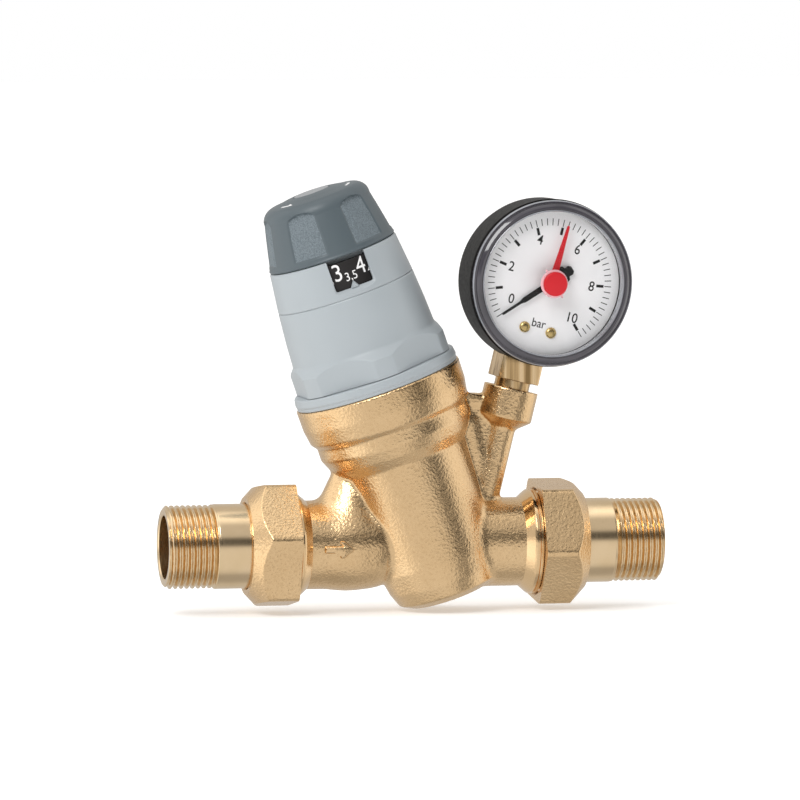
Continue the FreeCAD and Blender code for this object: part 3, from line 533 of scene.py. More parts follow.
# ---- cast body: distance field turned into one smooth skin ----
def polygon_distance(px, py, points):
    """Signed distance to a closed polygon, negative inside."""
    distance = np.full(px.shape, 1e9, np.float32)
    sign = np.ones(px.shape, np.float32)
    count = len(points)
    for i in range(count):
        ax, ay = points[i]
        bx, by = points[i - 1]
        ex, ey = bx - ax, by - ay
        wx, wy = px - ax, py - ay
        t = np.clip((wx * ex + wy * ey) / (ex * ex + ey * ey), 0, 1)
        distance = np.minimum(distance, (wx - ex * t) ** 2 + (wy - ey * t) ** 2)
        c1, c2, c3 = py >= ay, py < by, ex * wy > ey * wx
        flip = (c1 & c2 & c3) | (~c1 & ~c2 & ~c3)
        sign = np.where(flip, -sign, sign)
    return sign * np.sqrt(distance)


def round_cone(x, y, z, foot, head, foot_r, head_r):
    """Distance to two balls joined by their common cone."""
    foot, head = np.array(foot, float), np.array(head, float)
    ba = head - foot
    l2 = float(ba @ ba)
    rr = foot_r - head_r
    a2 = l2 - rr * rr
    il2 = 1.0 / l2
    pa = [x - foot[0], y - foot[1], z - foot[2]]
    yy = pa[0] * ba[0] + pa[1] * ba[1] + pa[2] * ba[2]
    zz = yy - l2
    xx = sum((pa[i] * l2 - ba[i] * yy) ** 2 for i in range(3))
    y2, z2 = yy * yy * l2, zz * zz * l2
    k = math.copysign(1, rr) * rr * rr * xx
    near_head = np.sign(zz) * a2 * z2 > k
    near_foot = np.sign(yy) * a2 * y2 < k
    side = (np.sqrt(np.maximum(xx * a2 * il2, 0)) + yy * rr) * il2 - foot_r
    head_d = np.sqrt(xx + z2) * il2 - head_r
    foot_d = np.sqrt(xx + y2) * il2 - foot_r
    return np.where(near_head, head_d, np.where(near_foot, foot_d, side))


def capsule(x, y, z, start, end, radius):
    return round_cone(x, y, z, start, end, radius, radius - 0.001)


CUP_BORE_R = 24.8
CUP_FLOOR = 44.0
CUP_TOP = 53.6
BARREL = [(0, -17.7), (12.6, -17.7), (16.2, -15.8), (17.9, -11.5), (19.2, -5), (20.5, 29),
          (23.0, 32.6), (24.7, 36.3), (24.7, 40.4), (26.2, 42.2), (27.0, 47.0), (27.1, CUP_TOP),
          (0, CUP_TOP)]
STUB_START = 44.2               # where the stub leaves its thread collar
OUTLET_START = 80.0             # inside the barrel, on the row's X
WATER_WAY_R = 9.5
INLET_WAY_END, OUTLET_WAY_START = 54.0, 112.0
BOSS_X, BOSS_Z = 112.4, 49.0
CASTING_BOX = ((41.5, -28.0, -23.0), (122.0, 28.0, 62.0))
CASTING_STEP = 0.5
LOBE_NOSE_X = 65.0
LOBE_FOOT = (59.0, 0, 0)
LOBE_HEAD = (61.6, 0, 24.0)
LOBE_HEAD_R = 6.0


def body_field(x, y, z):
    """Distance field of the casting, less the cup's hollow and the water ways."""
    lean = math.radians(AXIS_LEAN)
    u = (x - AXIS_X) * math.cos(lean) + z * math.sin(lean)
    h = -(x - AXIS_X) * math.sin(lean) + z * math.cos(lean)
    rho = np.sqrt(u * u + y * y)
    barrel = polygon_distance(rho, h, BARREL)
    pipe_r = np.sqrt(y * y + z * z)
    past_nose = np.maximum(x - LOBE_NOSE_X, 0)
    inlet = np.maximum(np.sqrt(pipe_r ** 2 + past_nose ** 2) - STUB_R, STUB_START - x)
    outlet_end = END_TO_END - STUB_START
    outlet = np.maximum(pipe_r - STUB_R, np.maximum(OUTLET_START - x, x - outlet_end))
    lobe = round_cone(x, y, z, LOBE_FOOT, LOBE_HEAD, STUB_R, LOBE_HEAD_R)
    casting = smooth_min(smooth_min(inlet, lobe, 2.5), barrel, 1.4)
    casting = smooth_min(casting, outlet, 1.8)
    casting = smooth_min(casting, gauge_arm(x, y, z), 1.6)
    cup = np.maximum(rho - CUP_BORE_R, CUP_FLOOR - h)
    ways = np.maximum(pipe_r - WATER_WAY_R, np.minimum(x - INLET_WAY_END, OUTLET_WAY_START - x))
    casting = smooth_max(np.maximum(casting, h - CUP_TOP), -cup, 0.5)
    return np.maximum(casting, -ways)


def gauge_arm(x, y, z):
    """Boss, duct, web and the two ribs that frame it."""
    lean = math.radians(GAUGE_LEAN)
    s = (x - BOSS_X) * math.cos(lean) - (z - BOSS_Z) * math.sin(lean)
    t = (x - BOSS_X) * math.sin(lean) + (z - BOSS_Z) * math.cos(lean)
    boss_r = np.sqrt(s * s + y * y)
    boss = polygon_distance(boss_r, t, [(0, -13.0), (4.0, -13.0), (8.7, -9.6), (8.7, 0), (0, 0)])
    duct = capsule(x, y, z, (110.0, 0, 39.0), (103.4, 0, 12.0), 4.3)
    web = np.maximum(polygon_distance(x, z, [(92, 50), (106.5, 44.8), (107.5, 12), (96, 8)]),
                     np.abs(y) - 2.2)
    rib = capsule(x, y, z, (98.5, 0, 38.5), (104.3, 0, 14.5), 2.9)
    brow = capsule(x, y, z, (100.5, 0, 45.2), (108.0, 0, 45.4), 2.3)
    arm = duct
    for part in (web, rib, brow):
        arm = smooth_min(arm, part, 1.5)
    return smooth_min(arm, boss, 0.8)


def surface_net(field, low, step):
    """Quads through the cells where the field changes sign (naive surface nets)."""
    nx, ny, nz = field.shape
    inside = field < 0
    cells = np.zeros((nx - 1, ny - 1, nz - 1), np.int8)
    for dx in (0, 1):
        for dy in (0, 1):
            for dz in (0, 1):
                cells += inside[dx:nx - 1 + dx, dy:ny - 1 + dy, dz:nz - 1 + dz]
    active = (cells > 0) & (cells < 8)
    index = -np.ones(active.shape, np.int64)
    where = np.argwhere(active)
    index[active] = np.arange(len(where))
    total = np.zeros((len(where), 3))
    weight = np.zeros(len(where))
    i, j, k = where.T
    corners = [(a, b, c) for a in (0, 1) for b in (0, 1) for c in (0, 1)]
    for first in corners:
        for axis in range(3):
            if first[axis]:
                continue
            second = list(first)
            second[axis] = 1
            fa = field[i + first[0], j + first[1], k + first[2]]
            fb = field[i + second[0], j + second[1], k + second[2]]
            crossing = (fa < 0) != (fb < 0)
            t = np.where(crossing, fa / np.where(crossing, fa - fb, 1.0), 0.0)
            point = np.array(first, float) + np.outer(t, np.eye(3)[axis])
            total += point * crossing[:, None]
            weight += crossing
    vertices = np.array(low) + step * (where + total / weight[:, None])
    faces = []
    for axis in range(3):
        b, c = (axis + 1) % 3, (axis + 2) % 3
        shift = np.eye(3, dtype=int)[axis]
        end = np.array(field.shape) - shift
        here = inside[:end[0], :end[1], :end[2]]
        there = inside[shift[0]:, shift[1]:, shift[2]:]
        for value in (True, False):
            edges = np.argwhere((here == value) & (there != value))
            keep = (edges[:, b] > 0) & (edges[:, c] > 0)
            keep &= (edges[:, b] < field.shape[b] - 1) & (edges[:, c] < field.shape[c] - 1)
            edges = edges[keep]
            quad = []
            for db, dc in ((1, 1), (0, 1), (0, 0), (1, 0)):
                at = edges.copy()
                at[:, b] -= db
                at[:, c] -= dc
                quad.append(index[at[:, 0], at[:, 1], at[:, 2]])
            quad = np.stack(quad, axis=1)
            faces.append(quad if value else quad[:, ::-1])
    return vertices, np.concatenate(faces)


def body_casting():
    step = CASTING_STEP
    low, high = CASTING_BOX
    axes = [np.arange(low[i], high[i] + step, step, dtype=np.float32) for i in range(3)]
    x, y, z = np.meshgrid(*axes, indexing="ij")
    field = body_field(x, y, z)
    vertices, faces = surface_net(field, low, step)
    piece = new_piece("body_casting", vertices, faces.tolist(), ROW, 60.0)
    return dress(piece, "valve", "cast_brass", ("valve_body",))


def body_collar(side):
    """Turned thread collar with its grooves and the flare into the stub."""
    crest, root, pitch = 16.6, 15.5, 2.309
    thread = []
    for turn in range(2):
        start = BODY_END + 0.7 + turn * pitch
        thread += [(crest, start), (crest, start + 0.5), (root, start + 1.2), (root, start + 1.5)]
    profile = [(9.5, BODY_END), (15.6, BODY_END)] + thread + [
        (crest, BODY_END + 5.0), (crest, 41.3), (16.15, 41.45), (16.15, 41.75), (crest, 41.9),
        (crest, 42.5), (16.2, 43.1), (14.9, 44.6), (STUB_R - 0.1, 45.6), (9.5, 45.6)]
    last = len(profile) - 1
    profile = rounded(profile, {last - 4: 0.3, last - 3: 0.8, last - 2: 1.2})
    piece = lathe(f"body_collar_{side}", profile, end_frame(side))
    return dress(piece, "valve", "turned_casting")


def flow_arrow():
    """Raised arrow on the front of the inlet stub."""
    tip, neck, tail = 58.6, 54.6, 49.6
    half, barb, middle = 0.75, 2.4, -0.5
    outline = [(tail, -half), (neck + 1.2, -half), (neck - 0.4, -barb), (neck + 0.8, -barb),
               (tip, 0), (neck + 0.8, barb), (neck - 0.4, barb), (neck + 1.2, half), (tail, half)]
    outline = rounded([(px, pz + middle) for px, pz in outline], 0.3, 3)
    outline = np.array(outline)
    along = np.roll(outline, -1, axis=0) - np.roll(outline, 1, axis=0)
    outward = np.stack([along[:, 1], -along[:, 0]], axis=1)
    outward /= np.linalg.norm(outward, axis=1)[:, None]
    loops = []
    for rise, grow in ((-0.5, 0.50), (0.15, 0.42), (0.55, 0.25), (0.85, 0.0), (1.0, -0.35)):
        radius = STUB_R + rise
        loops.append([(qx, -radius * math.cos(qz / STUB_R), radius * math.sin(qz / STUB_R))
                      for qx, qz in outline + outward * grow])
    mesh = skinned(loops)
    bmesh.ops.triangulate(mesh, faces=[f for f in mesh.faces if len(f.verts) > 4])
    piece = finish_bmesh("flow_arrow", mesh, ROW, 50.0)
    return dress(piece, "valve", "cast_brass")


# ---- unions ----
def hexagon_radius(angles, across_flats, corner, edge_round):
    """Radius of a hexagon at each angle, its corners rounded off."""
    sector = (angles - corner + np.pi / 6) % (np.pi / 3) - np.pi / 6
    offset = np.pi / 6 - np.abs(sector)
    flat = across_flats / 2 / np.cos(offset)
    limit = across_flats / math.sqrt(3) - edge_round
    return smooth_min(flat, np.full_like(flat, limit), edge_round * 0.9)


def union_nut(side):
    """Hexagon nut: straight chamfer cone at the outer end, small one at the body side."""
    (outer_end, face), corner_angle = UNIONS[side]
    corner = math.radians(corner_angle)
    cone_end = outer_end + 6.2
    heights = np.concatenate([np.linspace(outer_end, outer_end + 0.3, 5),
                              np.linspace(outer_end + 0.4, cone_end, 70),
                              np.linspace(cone_end + 0.4, face - 1.6, 12),
                              np.linspace(face - 1.5, face, 20)])

    def section(angles):
        hexagon = hexagon_radius(angles, 37.0, corner, 0.35)
        cone = 15.5 + (heights - outer_end) / 0.95
        lip = 15.2 + np.sqrt(np.clip(0.3 * (heights - outer_end), 0, 0.25))
        chamfer = 20.95 + (face - heights) * 1.73
        envelope = np.minimum(np.minimum(cone, lip + (heights - outer_end) * 4), chamfer)
        outer = smooth_min(hexagon[None, :], np.minimum(envelope, 24.0)[:, None], 0.30)
        return outer, heights[:, None]

    inner = [(17.3, face), (16.75, face - 0.5), (16.75, 29.7), (13.65, 27.5),
             (13.65, outer_end + 0.4), (13.95, outer_end)]
    piece = spun(f"{side}_nut_casting", section, inner, end_frame(side), 540, 28.0)
    return dress(piece, f"{side}_union", "cast_brass", (f"{side}_nut",))


def union_tail(side):
    """Pipe tail with a true helical thread that runs out on the plain barrel."""
    rows = np.arange(0.0, 16.4, 0.075)
    root = THREAD_R - THREAD_DEPTH

    def section(angles):
        h, a = np.meshgrid(rows, angles, indexing="ij")
        phase = (h / THREAD_PITCH - a / (2 * np.pi)) % 1.0
        flank = np.clip((np.abs(phase - 0.5) - 0.12) / 0.28, 0, 1)
        thread = root + THREAD_DEPTH * flank
        run_out = np.clip((h - 14.6) / 1.6, 0, 1)
        thread = thread + (TAIL_R - thread) * run_out
        return np.minimum(thread, THREAD_R - 1.0 + h), h

    inner = [(TAIL_R, 16.5), (TAIL_R, 27.7), (16.1, 29.7), (16.1, 33.4), (BORE_R, 33.4),
             (BORE_R, 0.4), (BORE_R + 0.4, 0.0)]
    piece = spun(f"{side}_tail_turned", section, inner, end_frame(side), 192, 40.0)
    return dress(piece, f"{side}_end", "machined_brass", (f"{side}_tail",))


# ---- bonnet ----
def bonnet_cover():
    """Grey cover: lip, flange and wrench hexagon whose flats end in arches."""
    heights = np.concatenate([np.linspace(53.6, 57.6, 14), np.linspace(57.7, 58.6, 12),
                              np.linspace(58.7, 69.5, 70), np.linspace(70, 84.4, 22),
                              np.linspace(84.5, 85.0, 5)])

    def section(angles):
        corner = math.radians(-90)
        hexagon = hexagon_radius(angles, 48.0, corner, 0.2)[None, :]
        h = heights[:, None]
        shoulder = 26.0 - np.clip(h - 64.2, 0, None) * 0.80
        posts = np.minimum(smooth_min(hexagon, shoulder, 0.25), 26.0)
        bowl = np.interp(heights, [57.8, 60.0, 67.0, 75.0, 84.6, 85.0],
                         [23.9, 23.85, 23.6, 23.2, 22.42, 22.2])[:, None]
        flange = np.interp(heights, [53.6, 53.9, 55.0, 55.1, 55.3, 57.4, 57.7, 58.0],
                           [26.2, 26.6, 26.6, 26.75, 26.85, 26.5, 26.2, 20.0])[:, None]
        upper = np.where(h < 57.9, 0, smooth_max(bowl, posts, 0.5))
        return np.maximum(upper, flange), h

    inner = [(20.6, 85.0), (20.6, 60.0), (21.6, 56.0), (21.6, 47.7), (24.0, 47.7), (24.0, 53.5)]
    piece = spun("bonnet_shell", section, inner, CARTRIDGE, 720, 24.0)
    return dress(piece, "valve", "bonnet_grey", ("bonnet_cover",))


def cut_with(piece, cutter):
    modifier = piece.modifiers.new("cut", "BOOLEAN")
    modifier.object = cutter
    modifier.operation = "DIFFERENCE"
    modifier.solver = "EXACT"
    graph = bpy.context.evaluated_depsgraph_get()
    mesh = bpy.data.meshes.new_from_object(piece.evaluated_get(graph))
    piece.modifiers.clear()
    piece.data = mesh
    bpy.data.objects.remove(cutter)


def window_cutter(outer_half, inner_half, outer_low, inner_low, near, far, corner):
    """Tapered opening: wide at the outside (near), narrow inside (far), open at the top."""
    top = 100.0
    loops = []
    for half, low, depth in ((outer_half, outer_low, near), (inner_half, inner_low, far)):
        outline = rounded([(-half, low), (half, low), (half, top), (-half, top)],
                          {0: corner, 1: corner}, 4)
        loops.append([(px, -depth, pz) for px, pz in outline])
    return finish_bmesh("cutter", skinned(loops), CARTRIDGE)


def indicator_ring():
    profile = [(20.5, 85.05), (22.1, 85.05), (22.34, 85.35), (20.95, 97.4), (20.6, 97.85),
               (5.3, 97.85), (5.3, 95.6), (17.9, 95.6), (17.9, 96.9), (20.3, 96.9), (20.3, 86.0)]
    piece = lathe("indicator_ring_shell", profile, CARTRIDGE)
    cut_with(piece, window_cutter(11.2, 6.2, 84.9, 87.9, 23.5, 20.5, 1.2))
    cut_with(piece, window_cutter(6.35, 6.2, 87.8, 87.9, 21.6, 16.0, 0.9))
    piece.data.shade_smooth()
    piece.data.set_sharp_from_angle(angle=math.radians(30))
    return dress(piece, "valve", "bonnet_grey", ("indicator_ring",))


def window_pointer():
    """Small triangle at the foot of the window."""
    outline = [(-1.5, WINDOW_FOOT), (1.5, WINDOW_FOOT), (0.0, WINDOW_FOOT + 2.3)]
    back = [(x, -20.45, z) for x, z in outline]
    front = [(x * 0.75, -21.1, WINDOW_FOOT + (z - WINDOW_FOOT) * 0.78) for x, z in outline]
    piece = finish_bmesh("window_pointer", skinned([back, front]), CARTRIDGE, 20.0)
    return dress(piece, "valve", "bonnet_grey")


def text_mesh(name, words, size, bold=0.0, narrow=1.0):
    """Flat lettering in millimetres about its own centre."""
    curve = bpy.data.curves.new(name, "FONT")
    curve.body = words
    curve.size = size
    curve.align_x = "CENTER"
    curve.align_y = "CENTER"
    curve.offset = bold
    curve.resolution_u = 6
    holder = bpy.data.objects.new(name, curve)
    bpy.context.collection.objects.link(holder)
    bpy.context.view_layer.update()
    graph = bpy.context.evaluated_depsgraph_get()
    mesh = bpy.data.meshes.new_from_object(holder.evaluated_get(graph))
    bpy.data.objects.remove(holder)
    points = np.array([v.co[:] for v in mesh.vertices])
    points[:, 0] *= narrow
    faces = [tuple(p.vertices) for p in mesh.polygons]
    bpy.data.meshes.remove(mesh)
    return points, faces


def drum_figures():
    """Raised white figures of the setting scale round the drum."""
    pieces = []
    for half in range(2, 13):
        value = half / 2
        whole = half % 2 == 0
        words = str(half // 2) if whole else f"{half // 2},5"
        size, centre_h = (7.7, 93.3) if whole else (3.9, 91.3)
        points, faces = text_mesh("figure", words, size, 0.0, 0.88)
        around = math.radians(-90 + (value - REST_BAR) * DEGREES_PER_BAR)
        angle = around + points[:, 0] / DRUM_R
        height = centre_h + points[:, 1]
        radius = DRUM_R + 0.12
        outer = np.stack([radius * np.cos(angle), radius * np.sin(angle), height], axis=-1)
        pieces.append(new_piece("figure", outer, faces, CARTRIDGE))
    piece = joined("drum_figures", pieces)
    return dress(piece, "drum", "figure_white")


# ---- knob ----
KNOB_PROFILE = ([98.1, 98.5, 99.0, 105.0, 109.0, 112.8], [20.55, 20.85, 20.6, 19.35, 18.5, 17.6])
FACET_HALF = ([99.0, 113.0], [6.2, 5.2])


def dome_height(radius):
    """Height of the knob's shallow dome at a distance from the axis."""
    return 118.9 - np.asarray(radius) ** 2 / 105.0


def facet_sector(angle):
    """Angle from the middle of the nearest of the six grip facets."""
    sector = (angle + np.pi / 2 - np.pi / 6) % (np.pi / 3)
    return np.minimum(sector, np.pi / 3 - sector)


def facet_arch(across, half_width):
    """Height of the arched top of a grip facet at a distance from its middle."""
    return 112.2 + 2.6 * np.sqrt(np.clip(1 - (across / half_width) ** 2, 0, 1))


def adjusting_knob():
    crown_angles = np.linspace(0, 73, 18)
    side = np.concatenate([np.linspace(98.1, 99.4, 8), np.linspace(99.6, 112.7, 80)])
    crown_h = 112.8 + 4.6 * np.sin(np.radians(crown_angles))
    crown_r = 13.0 + 4.6 * np.cos(np.radians(crown_angles))
    top_r = np.array([12.0, 10.5, 9.0, 7.5, 6.3, 6.05, 5.9])
    top_h = np.concatenate([dome_height(top_r[:5]), [118.3, 116.4]])

    def section(angles):
        r = np.concatenate([np.interp(side, *KNOB_PROFILE), crown_r, top_r])[:, None]
        h = np.concatenate([side, crown_h, top_h])[:, None]
        sector = facet_sector(angles)[None, :]
        across = r * np.sin(sector)
        floor = np.interp(h, [98.0, 110.0, 114.0], [20.05, 17.8, 16.2]) / np.cos(sector)
        half_width = np.interp(h, *FACET_HALF)
        side_edge = np.clip((half_width - across) / 0.9, 0, 1)
        top_edge = np.clip((facet_arch(across, half_width) - h) / 0.8, 0, 1)
        low_edge = np.clip((h - 99.8) / 0.8, 0, 1)
        depth = side_edge * top_edge * low_edge
        depth = depth * depth * (3 - 2 * depth)
        return r - np.maximum(r - floor, 0.35) * depth, h

    inner = [(5.9, 116.2), (3.4, 116.2), (3.4, 112.8), (15.0, 112.6), (16.8, 98.1)]
    piece = spun("knob_shell", section, inner, CARTRIDGE, 720, 30.0)
    dress(piece, "knob", "knob_grey", ("adjusting_knob",))
    mark_grip(piece)
    return piece


def mark_grip(piece):
    """Assigns the sparked finish to the facet floors."""
    piece.data.materials.append(MATERIALS["grip"])
    inverse = CARTRIDGE.inverted()
    for polygon in piece.data.polygons:
        local = inverse @ polygon.center
        angle = math.atan2(local.y, local.x)
        radius = math.hypot(local.x, local.y)
        across = radius * math.sin(facet_sector(angle))
        half_width = np.interp(local.z, *FACET_HALF)
        if across < half_width - 0.7 and 100.5 < local.z and radius > 16.0:
            if local.z < facet_arch(across, half_width) - 0.7:
                polygon.material_index = 1


def knob_cap():
    edge_h = float(dome_height(5.75))
    profile = [(0, 116.45), (5.75, 116.45), (5.75, edge_h - 0.15), (5.6, edge_h),
               (4.0, edge_h + 0.12), (2.0, edge_h + 0.24), (0, edge_h + 0.28)]
    piece = lathe("knob_cap_disc", profile, CARTRIDGE)
    return dress(piece, "knob", "cap_grey", ("knob_cap",))


def turn_arrows():
    """Three thin curved arrows on the knob's crown."""
    half_span = 8.0
    sweep = np.linspace(-half_span, half_span, 9)
    outline = [(12.7, t) for t in sweep]
    outline += [(13.5, half_span), (12.35, half_span + 8.0), (11.2, half_span)]
    outline += [(12.0, t) for t in sweep[::-1]]
    pieces = []
    for centre_angle in (-150, -30, 90):
        vertices = []
        for r, t in outline:
            a = math.radians(centre_angle + t)
            h = float(dome_height(r)) + 0.06
            vertices.append((r * math.cos(a), r * math.sin(a), h))
        mesh = bmesh.new()
        mesh.faces.new([mesh.verts.new(v) for v in vertices])
        bmesh.ops.triangulate(mesh, faces=mesh.faces)
        pieces.append(finish_bmesh("turn_arrow", mesh, CARTRIDGE))
    piece = joined("turn_arrows", pieces)
    return dress(piece, "knob", "figure_white")


# ---- gauge ----
def gauge_case():
    profile = [(0, -9.5), (20.0, -9.5), (23.0, -8.4), (25.8, -1.0), (26.35, 1.5), (26.45, 13.4),
               (26.6, 14.0), (26.65, 15.2), (26.5, 15.4), (25.2, 15.4), (25.1, 12.0), (24.8, 1.0),
               (22.0, -7.0), (19.5, -8.0), (0, -8.0)]
    profile = rounded(profile, {1: 1.5, 2: 1.5, 3: 1.5, 6: 0.3, 7: 0.25, 8: 0.2})
    piece = lathe("gauge_case_shell", profile, DIAL, SEGMENTS, 28.0)
    return dress(piece, "valve", "case_black", ("gauge_case",))


def gauge_window():
    """Clear pane with a thick stepped rim snapped over the case."""
    rim = [(23.3, 16.4), (25.1, 15.5), (26.25, 15.5), (26.3, 16.6), (25.95, 17.5), (25.55, 17.55),
           (25.45, 17.35), (25.25, 17.35), (25.15, 17.7), (24.3, 18.35), (23.75, 18.4),
           (23.7, 18.15), (23.45, 18.15), (23.4, 18.4), (23.3, 18.35)]
    rim = rounded(rim, {3: 0.3, 4: 0.25, 8: 0.2, 9: 0.3})
    edge = [(22.75, 15.6), (23.3, 15.6), (23.3, 18.3), (23.05, 18.5), (22.8, 18.2)]
    line = [(25.95, 17.2), (26.2, 16.9), (26.35, 16.95), (26.3, 17.2), (26.0, 17.55)]
    # The edge and line rings take the light copy of the rim material: painted reflection.
    for name, profile, finish in (("window_rim", rim, "crystal_rim"),
                                  ("window_edge", edge, "rim_painted_reflection"),
                                  ("window_line", line, "rim_painted_reflection")):
        ring = lathe(name, profile, DIAL, SEGMENTS, 25.0)
        dress(ring, "valve", finish)
    profile = [(1.6, 17.2), (22.75, 17.2), (22.75, 18.0), (1.6, 18.0)]
    pane = lathe("window_pane", profile, DIAL)
    return dress(pane, "valve", "clear_plastic", ("gauge_window",))


def gauge_seat():
    """Black seating ring between case, window and dial."""
    profile = [(22.9, 13.85), (25.05, 13.85), (25.05, 15.35), (23.9, 15.5), (23.0, 15.0)]
    piece = lathe("gauge_seat", profile, DIAL)
    return dress(piece, "valve", "case_black")


def dial_angle(bar):
    """Direction of a reading, anticlockwise from the dial's x axis, in radians."""
    return math.radians(225 - SCALE_SWEEP * bar / SCALE_TOP)


def dial_marks():
    """Printed scale: fine marks every 0.2 bar, heavy ones every bar, figures every 2 bar."""
    pieces = []
    for step in range(51):
        pieces.append(radial_bar(dial_angle(step / 5), 18.2, 20.4, 0.13))
    for bar in range(1, 11):
        pieces.append(radial_bar(dial_angle(bar), 15.5, 17.9, 0.44))
    for bar, reach, turn in FIGURE_PLACES:
        angle = dial_angle(bar) + math.radians(turn)
        place = (reach * math.cos(angle), reach * math.sin(angle))
        pieces.append(dial_print(str(bar), 4.4, 0.03, place))
    pieces.append(dial_print("bar", 3.9, 0.02, (-0.4, -13.4)))
    piece = joined("dial_marks", pieces)
    return dress(piece, "valve", "print_black")


def dial_print(words, size, bold, place):
    points, faces = text_mesh("print", words, size, bold, 0.92)
    points[:, 0] += place[0]
    points[:, 1] += place[1]
    points[:, 2] = PRINT_HEIGHT
    return new_piece("print", points, faces, DIAL)


def radial_bar(angle, inner, outer, half):
    along = np.array([math.cos(angle), math.sin(angle)])
    side = np.array([-along[1], along[0]]) * half
    corners = [along * inner - side, along * outer - side, along * outer + side,
               along * inner + side]
    vertices = [(c[0], c[1], PRINT_HEIGHT) for c in corners]
    return new_piece("mark", vertices, [(0, 1, 2, 3)], DIAL)


def dial_plate():
    profile = rounded([(2.4, 13.2), (23.1, 13.2), (23.1, 13.8), (2.4, 13.8)], 0.1)
    piece = lathe("dial_plate", profile, DIAL)
    return dress(piece, "valve", "dial_white", ("gauge_dial",))


def dial_screws():
    profile = [(0, 13.81), (1.75, 13.81), (1.75, 14.05), (1.45, 14.5), (0.9, 14.72), (0, 14.78)]
    pieces = []
    for x, y in DIAL_SCREWS:
        place = DIAL @ Matrix.Translation((x, y, 0))
        pieces.append(lathe("screw_head", profile, place, 48))
    piece = joined("dial_screw_heads", pieces)
    return dress(piece, "valve", "movement_brass", ("dial_screws",))


def black_pointer():
    turned = DIAL @ Matrix.Rotation(dial_angle(0) - math.pi / 2, 4, "Z")
    blade = [(-0.95, 0), (-0.85, 10.2), (-0.45, 11.5), (-0.40, 18.6), (0.40, 18.6), (0.45, 11.5),
             (0.85, 10.2), (0.95, 0), (0.9, -3.4), (2.3, -3.6), (2.9, -4.7), (2.5, -5.9),
             (1.5, -6.3), (1.6, -7.6), (0.9, -8.4), (-0.9, -8.4), (-1.6, -7.6), (-1.5, -6.3),
             (-2.5, -5.9), (-2.9, -4.7), (-2.3, -3.6), (-0.9, -3.4)]
    hand = prism("pointer_blade", rounded(blade, 0.25, 2), 14.75, 15.15, turned, 0.06)
    profile = [(0, 14.4), (2.6, 14.4), (2.6, 15.3), (2.2, 15.5), (0, 15.5)]
    hub = lathe("pointer_hub", profile, DIAL, 96)
    piece = joined("pointer_hand", [hand, hub])
    return dress(piece, "pointer", "hand_black", ("gauge_pointer",))


def red_hand():
    turned = DIAL @ Matrix.Rotation(dial_angle(SET_READING) - math.pi / 2, 4, "Z")
    blade = [(-1.15, 0), (-1.15, 3.5), (-0.42, 18.6), (0, 19.1), (0.42, 18.6), (1.15, 3.5),
             (1.15, 0), (0, -0.6)]
    hand = prism("marker_blade", rounded(blade, 0.15, 2), 15.9, 16.4, turned, 0.08)
    profile = [(0, 15.9), (3.3, 15.9), (3.3, 16.6), (1.5, 16.7), (1.5, 18.9), (0, 18.9)]
    hub = lathe("marker_hub", profile, DIAL, 96)
    piece = joined("marker_hand", [hand, hub])
    return dress(piece, "set_marker", "hand_red", ("set_hand",))


def red_cap():
    top = [(0, 19.15), (3.85, 19.15), (3.85, 20.5), (3.6, 20.85), (0, 20.9)]
    piece = lathe("marker_cap", rounded(top, {2: 0.2, 3: 0.2}), DIAL, 128)
    dress(piece, "set_marker", "hand_red", ("set_cap",))
    edge = [(1.6, 18.5), (4.45, 18.5), (4.5, 18.9), (4.2, 19.3), (3.7, 19.5), (1.6, 19.5)]
    brim = lathe("marker_brim", rounded(edge, {1: 0.1, 2: 0.1, 3: 0.1}), DIAL, 128)
    lug = [(4.2, -0.5), (5.3, -0.15), (5.3, 0.15), (4.2, 0.5)]
    lugs = []
    for angle in (135, -45):
        place = DIAL @ Matrix.Rotation(math.radians(angle), 4, "Z")
        lugs.append(prism("lug", lug, 18.6, 19.1, place))
    brim = joined("marker_brim", [brim] + lugs)
    dress(brim, "set_marker", "hand_pink")
    return piece


def stem_block():
    """Square wrench block with chamfered corners, turned neck and thread."""
    upright = Matrix.Rotation(-math.pi / 2, 4, "X")
    stem = DIAL @ upright @ Matrix.Translation((0, 0, -GAUGE_CENTRE))
    half, cut = 6.8, 0.9
    outline = [(-half, -half + cut), (-half + cut, -half), (half - cut, -half), (half, -half + cut),
               (half, half - cut), (half - cut, half), (-half + cut, half), (-half, half - cut)]
    block = prism("block", outline, 2.6, 15.6, stem, 0.18)
    cone = lathe("block_foot", [(0, 2.45), (6.0, 2.45), (6.75, 3.2), (0, 3.2)], stem, 96)
    profile = [(0, -6.9), (6.0, -6.9), (6.5, -6.2), (6.5, -0.6), (5.65, 0.0), (5.65, 2.6), (0, 2.6)]
    neck = lathe("neck", profile, stem, 128)
    piece = joined("stem_block", [block, cone, neck])
    return dress(piece, "valve", "block_brass", ("gauge_stem",))


# ---- carried-over CAD nodes ----
def dress_cad_nodes():
    slots = {entry["node"]: entry["material_slot"] for entry in frame["record"]["subparts"]}
    for name, node in frame["nodes"].items():
        node.data.materials.clear()
        node.data.materials.append(MATERIALS[slots[name]])


